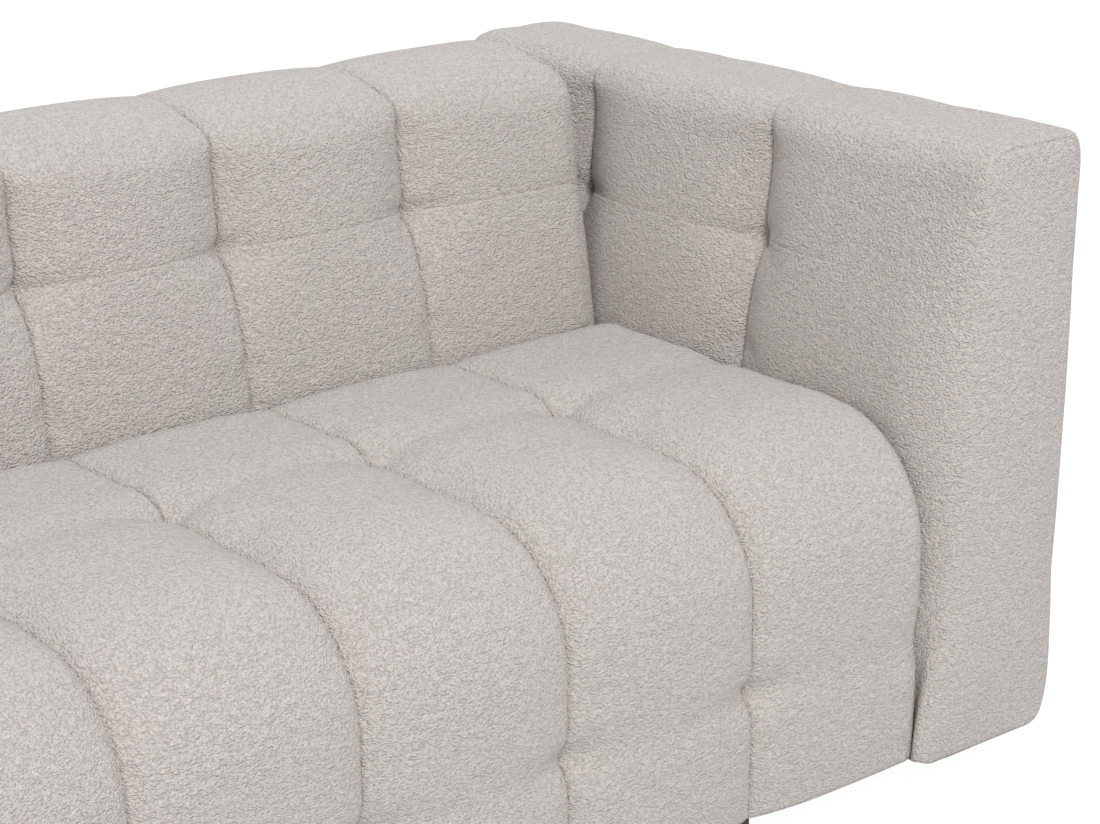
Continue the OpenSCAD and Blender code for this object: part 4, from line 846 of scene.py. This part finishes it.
# One row each: group, its values, which output colours it, which one is its relief,
# dark colour, light colour, relief depth, roughness, metallic
finishes = {
    "foam": ("speck", {"Scale": 620.0}, "Specks", "Height", (0.72, 0.62, 0.34), (0.88, 0.80, 0.52), 0.0006, 0.95, 0),
    "felt": ("speck", {"Scale": 900.0}, "Specks", "Specks", (0.20, 0.20, 0.19), (0.42, 0.42, 0.40), 0.0007, 0.97, 0),
    "dust_cloth": ("weave", {"Threads": 300.0}, "Lint", "Height", (0.010, 0.010, 0.011),
                   (0.035, 0.035, 0.038), 0.0003, 0.85, 0),
    "twine": ("weave", {"Threads": 500.0}, "Lint", "Height", (0.52, 0.44, 0.30), (0.80, 0.72, 0.55), 0.0003, 0.9, 0),
    "strap": ("weave", {"Threads": 220.0}, "Lint", "Height", (0.025, 0.025, 0.03), (0.07, 0.07, 0.08), 0.0005, 0.8, 0),
    "timber": ("grain", {"Scale": 10.0}, "Rings", "Pores", (0.42, 0.27, 0.13), (0.66, 0.48, 0.28), 0.0003, 0.65, 0),
    "plywood": ("grain", {"Scale": 26.0}, "Rings", "Pores", (0.50, 0.35, 0.19), (0.70, 0.54, 0.34), 0.0002, 0.6, 0),
    "hardboard": ("speck", {"Scale": 260.0}, "Specks", "Specks", (0.13, 0.07, 0.035),
                  (0.27, 0.16, 0.09), 0.0002, 0.6, 0),
    "spring_steel": ("grain", {"Scale": 60.0, "Stretch": 1.0}, "Pores", "Pores", (0.20, 0.20, 0.21),
                     (0.34, 0.34, 0.36), 0.0001, 0.38, 1),
    "zinc_steel": ("speck", {"Scale": 190.0}, "Specks", "Specks", (0.42, 0.43, 0.45),
                   (0.66, 0.67, 0.70), 0.0001, 0.3, 1),
    "black_plastic": ("speck", {"Scale": 1400.0}, "Specks", "Height", (0.012, 0.012, 0.013),
                      (0.022, 0.022, 0.024), 0.00015, 0.5, 0),
}
finishLook = {"stops": (0.25, 0.75), "bump": 0.8, "patch": 24.0, "wear": 0.06}


def finishMaterial(name):
    kind, values, tint, relief, dark, light, depth, rough, metal = finishes[name]
    material, tree, shader, coords = newMaterial(name, light)
    group = shade(tree, "Group", {}, node_tree=groups[kind])
    feed(tree, group, {"Vector": coords, **values})
    feed(tree, shader, {"Base Color": ramp(tree, group.outputs[tint], list(zip(finishLook["stops"], (dark, light))))})
    bump = shade(tree, "Bump", {"Height": group.outputs[relief], "Strength": finishLook["bump"], "Distance": depth})
    feed(tree, shader, {"Normal": bump, "Metallic": metal})
    patch = shade(tree, "TexNoise", {"Vector": coords, "Scale": finishLook["patch"], "Detail": 3.0})
    worn = shade(tree, "MapRange", {"Value": patch.outputs["Fac"], "To Min": rough - finishLook["wear"],
                                    "To Max": min(1, rough + finishLook["wear"])})
    feed(tree, shader, {"Roughness": worn})
    return material


materials = {name: finishMaterial(name) for name in finishes}
materials["boucle"] = boucleMaterial()
print("materials made")


def dress(piece, slot):
    piece.data.materials.clear()
    piece.data.materials.append(materials[slot])


for piece in (seatCover, backCover, armCover, armCoverLeft, outsideBack):
    dress(piece, "boucle")

easing = {"weld": 2e-5, "flat": 1, "corner": 50, "segments": 2}      # weld in metres, flat and corner in degrees


# Foam and felt inside the covers: each has its node's form, with its edges eased
def easedCopy(node, name, slot, ease):
    work = bmesh.new()
    work.from_mesh(nodes[node].data)
    bmesh.ops.remove_doubles(work, verts=work.verts[:], dist=easing["weld"])
    bmesh.ops.dissolve_limit(work, angle_limit=math.radians(easing["flat"]), verts=work.verts[:], edges=work.edges[:])
    mesh = bpy.data.meshes.new(name)
    work.to_mesh(mesh)
    work.free()
    piece = newPiece(name, mesh)
    soft = piece.modifiers.new("ease", "BEVEL")
    soft.width = ease
    soft.segments = easing["segments"]
    soft.limit_method = "ANGLE"
    soft.angle_limit = math.radians(easing["corner"])
    settle(piece)
    fitOver(piece, node)
    dress(piece, slot)


for node, name, slot, ease in (
        ("seat_foam", "seatFoam", "foam", 0.003), ("back_foam", "backFoam", "foam", 0.003),
        ("arm_foam_left", "armFoamLeft", "foam", 0.003), ("arm_foam_right", "armFoamRight", "foam", 0.003),
        ("seat_deck_pad", "seatDeckPad", "felt", 0.001)):
    easedCopy(node, name, slot, ease)
print("foam made")

# Every node that stays has the finish that the record gives it
for part in frame["record"]["subparts"]:
    if part["material_slot"] != "boucle":
        dress(nodes[part["node"]], part["material_slot"])
print("nodes dressed")


# Geometry Nodes: short pieces of wire or thread set at even steps along a path
def stepTree(name, unit, sizes):
    tree, ins, outs = newGroup(
        name, [("Geometry", "Geometry", None), ("Step", "Float", 0.05), ("Length", "Float", 0.01),
               ("Wire", "Float", 0.001), ("Turn", "Float", 0.0), ("Seed", "Int", 0), ("Finish", "Material", None)],
        [("Geometry", "Geometry")], "GeometryNodeTree")
    given = ins.outputs
    line = addNode(tree, "GeometryNodeMeshToCurve", {"Mesh": given["Geometry"]})
    dots = addNode(tree, "GeometryNodeCurveToPoints", {"Curve": line, "Length": given["Step"]}, mode="LENGTH")
    size = shade(tree, "CombineXYZ", {"X": given["Wire"], "Y": given["Wire"], "Z": given["Length"]})
    unit = addNode(tree, unit, sizes)
    jitter = addNode(tree, "FunctionNodeRandomValue", {"Min": (-0.04, -0.04, -0.04), "Max": (0.04, 0.04, 0.04),
                                                      "Seed": given["Seed"]}, data_type="FLOAT_VECTOR")
    tilt = shade(tree, "CombineXYZ", {"X": given["Turn"]})
    swing = reckon(tree, "ADD", jitter.outputs["Value"], tilt, kind="VectorMath")
    placed = addNode(tree, "GeometryNodeInstanceOnPoints", {
        "Points": dots.outputs["Points"], "Instance": unit.outputs["Mesh"], "Rotation": dots.outputs["Rotation"],
        "Scale": size})
    turned = addNode(tree, "GeometryNodeRotateInstances", {"Instances": placed, "Rotation": swing})
    real = addNode(tree, "GeometryNodeRealizeInstances", {"Geometry": turned})
    done = addNode(tree, "GeometryNodeSetMaterial", {"Geometry": real, "Material": given["Finish"]})
    feed(tree, outs, {0: done})
    return tree


stepTrees = {
    "staples": stepTree("staplesAlong", "GeometryNodeMeshCube", {"Size": (1, 1, 1)}),
    "stitches": stepTree("stitchesAlong", "GeometryNodeMeshUVSphere", {"Segments": 8, "Rings": 6, "Radius": 0.5}),
}


def alongPaths(name, paths, kind, slot, values):
    points, edges = [], []
    for path in paths:
        edges += [(len(points) + k, len(points) + k + 1) for k in range(len(path) - 1)]
        points += [tuple(float(v) for v in at) for at in path]
    piece = pieceFrom(name, points, [], edges)
    steps = piece.modifiers.new("steps", "NODES")
    steps.node_group = stepTrees[kind]
    wanted = dict(values, Finish=materials[slot])
    for socket in steps.node_group.interface.items_tree:
        if socket.in_out == "INPUT" and socket.name in wanted:
            steps[socket.identifier] = wanted[socket.name]
    settle(piece)
    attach(piece, "root")
    return piece


dartThread = {"Step": 0.0062, "Length": 0.0042, "Wire": 0.0011, "Seed": 3}
alongPaths("dartStitches", [dartPath, dartPath * np.array([-1, 1, 1])], "stitches", "boucle", dartThread)
print("stitches made")

# Dust covers: thin cloth pulled tight under the frames, cut out round the feet and plates, and stapled
dust = {
    "thickness": 0.0006, "sag": 0.003, "ripple": 0.15, "cell": 0.03, "room": 0.001, "stapleRoom": 0.009,
    "walk": 0.004, "inset": 0.008, "plateHalf": 0.021, "armPlates": (0.1704, 0.4483, 0.7801),
    "armPlateAcross": (0.8736, 0.9), "backPlates": (-0.3375, 0, 0.3375), "backPlateAlong": (0.5246, 0.6031),
}
staple = {"Step": 0.055, "Length": 0.0100, "Wire": 0.0011, "Turn": 0.0, "Seed": 11}
# Each cut-out is (from x, to x, from y, to y)
cuts = []
for foot in ("foot_seat_left", "foot_seat_right", "foot_back_left", "foot_back_right"):
    low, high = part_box(foot)
    cuts.append((low[0] - dust["room"], high[0] + dust["room"], low[1] - dust["room"], high[1] + dust["room"]))
near, away = dust["armPlateAcross"]
for depth in dust["armPlates"]:
    at = front + depth
    cuts += [(a, b, at - dust["plateHalf"], at + dust["plateHalf"]) for a, b in ((-away, -near), (near, away))]
for x in dust["backPlates"]:
    cuts.append((x - dust["plateHalf"], x + dust["plateHalf"], *[front + d for d in dust["backPlateAlong"]]))


def cellEdges(low, high, marks):
    stops = sorted({low, high, *[m for m in marks if low < m < high]})
    return np.concatenate([np.linspace(a, b, max(1, math.ceil((b - a) / dust["cell"])) + 1)[:-1]
                           for a, b in zip(stops[:-1], stops[1:])] + [[high]])


def clearOfCuts(x, y, room=0.0):
    return all(not (a - room < x < b + room and c - room < y < d + room) for a, b, c, d in cuts)


# Staple rows along the four edges, broken where the cloth is cut out
def stapleRows(low, high):
    x0, x1, y0, y1 = low[0] + dust["inset"], high[0] - dust["inset"], low[1] + dust["inset"], high[1] - dust["inset"]
    height = high[2] - dust["thickness"] - staple["Wire"] * 0.4
    rows = []
    for start, end in (((x0, y0), (x1, y0)), ((x1, y1), (x0, y1)), ((x0, y1), (x0, y0)), ((x1, y0), (x1, y1))):
        count = round(math.dist(start, end) / dust["walk"])
        runs = [[]]
        for k in range(count + 1):
            x, y = mix(start[0], end[0], k / count), mix(start[1], end[1], k / count)
            if clearOfCuts(x, y, dust["stapleRoom"]):
                runs[-1].append((x, y, height))
            else:
                runs.append([])
        rows += [[run[0], run[-1]] for run in runs if len(run) > 1]
    return rows


def dustCover(name, node):
    low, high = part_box(node)
    xs, ys = (cellEdges(low[k], high[k], [v for cut in cuts for v in cut[2 * k:2 * k + 2]]) for k in (0, 1))
    u = (2 * (xs - low[0]) / (high[0] - low[0]) - 1)[:, None]
    v = (2 * (ys - low[1]) / (high[1] - low[1]) - 1)[None, :]
    z = high[2] - dust["sag"] * (1 - u ** 8) * (1 - v ** 2) * (1 + dust["ripple"] * np.cos(9 * u))
    grid = gridPoints(xs[:, None], ys[None, :], z)
    clear = np.array([[clearOfCuts((a + b) / 2, (c + d) / 2) for c, d in zip(ys[:-1], ys[1:])]
                      for a, b in zip(xs[:-1], xs[1:])])
    faces = [face for face, kept in zip(quads(np.arange(z.size).reshape(z.shape)), clear.ravel()) if kept]
    piece = pieceFrom(name, grid.reshape(-1, 3).tolist(), faces)
    work = bmesh.new()
    work.from_mesh(piece.data)
    bmesh.ops.delete(work, geom=[p for p in work.verts if not p.link_faces], context="VERTS")
    work.to_mesh(piece.data)
    work.free()
    cloth = piece.modifiers.new("cloth", "SOLIDIFY")
    cloth.thickness = dust["thickness"]
    cloth.offset = -1
    settle(piece)
    dress(piece, "dust_cloth")
    staples = alongPaths(name + "Staples", stapleRows(low, high), "staples", "zinc_steel", staple)
    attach(piece, "root")
    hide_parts(node)


dustCover("seatDustCover", "seat_dust_cover")
dustCover("backDustCover", "back_dust_cover")
print("dust covers made")

# Floor, backdrop and soft light
stage = {"floor": 14.0, "floorTone": 0.80, "floorGlow": 1.12, "glowShare": 0.86, "world": 0.60,
         "ambient": (0.97, 0.985, 1.0), "white": 1.0}


# One where a ray comes straight from the camera or by a mirror or glass
def directRay(tree):
    path = shade(tree, "LightPath", {}).outputs
    seen = reckon(tree, "MAXIMUM", path["Is Camera Ray"], path["Is Glossy Ray"])
    return reckon(tree, "MAXIMUM", seen, path["Is Transmission Ray"])


half = stage["floor"] / 2
floor = pieceFrom("floor", [(-half, -half, 0), (half, -half, 0), (half, half, 0), (-half, half, 0)], [(0, 1, 2, 3)])
floorMaterial = bpy.data.materials.new("floorWhite")
floorMaterial.use_nodes = True
tree = floorMaterial.node_tree
shader = tree.nodes["Principled BSDF"]
feed(tree, shader, {"Base Color": (*[stage["floorTone"]] * 3, 1), "Roughness": 0.9})
share = reckon(tree, "MULTIPLY", directRay(tree), stage["glowShare"])
glow = shade(tree, "Emission", {"Color": (1, 1, 1, 1), "Strength": stage["floorGlow"]})
mixed = shade(tree, "MixShader", {0: share, 1: shader, 2: glow})
feed(tree, tree.nodes["Material Output"], {"Surface": mixed})
floor.data.materials.append(floorMaterial)

world = bpy.data.worlds.new("studio")
world.use_nodes = True
scene.world = world
tree = world.node_tree
ambient = tree.nodes["Background"]
feed(tree, ambient, {"Color": (*stage["ambient"], 1), "Strength": stage["world"]})
backdrop = shade(tree, "Background", {"Color": (1, 1, 1, 1), "Strength": stage["white"]})
mixed = shade(tree, "MixShader", {0: directRay(tree), 1: ambient, 2: backdrop})
feed(tree, tree.nodes["World Output"], {"Surface": mixed})

# Lamp: name, place, aim, size, watts
lamps = (
    ("keyFront", (-3.9, -8.2, 8.3), (0.3, -0.1, 0.4), 2.4, 850),
    ("fillTop", (0.2, -0.6, 3.8), (0.2, 0, 0.4), 3.0, 6),
    ("fillRear", (1.2, 3.4, 2.6), (0, 0, 0.4), 2.6, 30),
)
for name, at, aim, size, power in lamps:
    lamp = bpy.data.lights.new(name, "AREA")
    lamp.shape = "SQUARE"
    lamp.size = size
    lamp.energy = power
    lampPiece = newPiece(name, lamp)
    lampPiece.location = at
    lampPiece.rotation_euler = (Vector(aim) - Vector(at)).to_track_quat("-Z", "Y").to_euler()
scene.view_settings.view_transform = "Standard"
print("stage made")
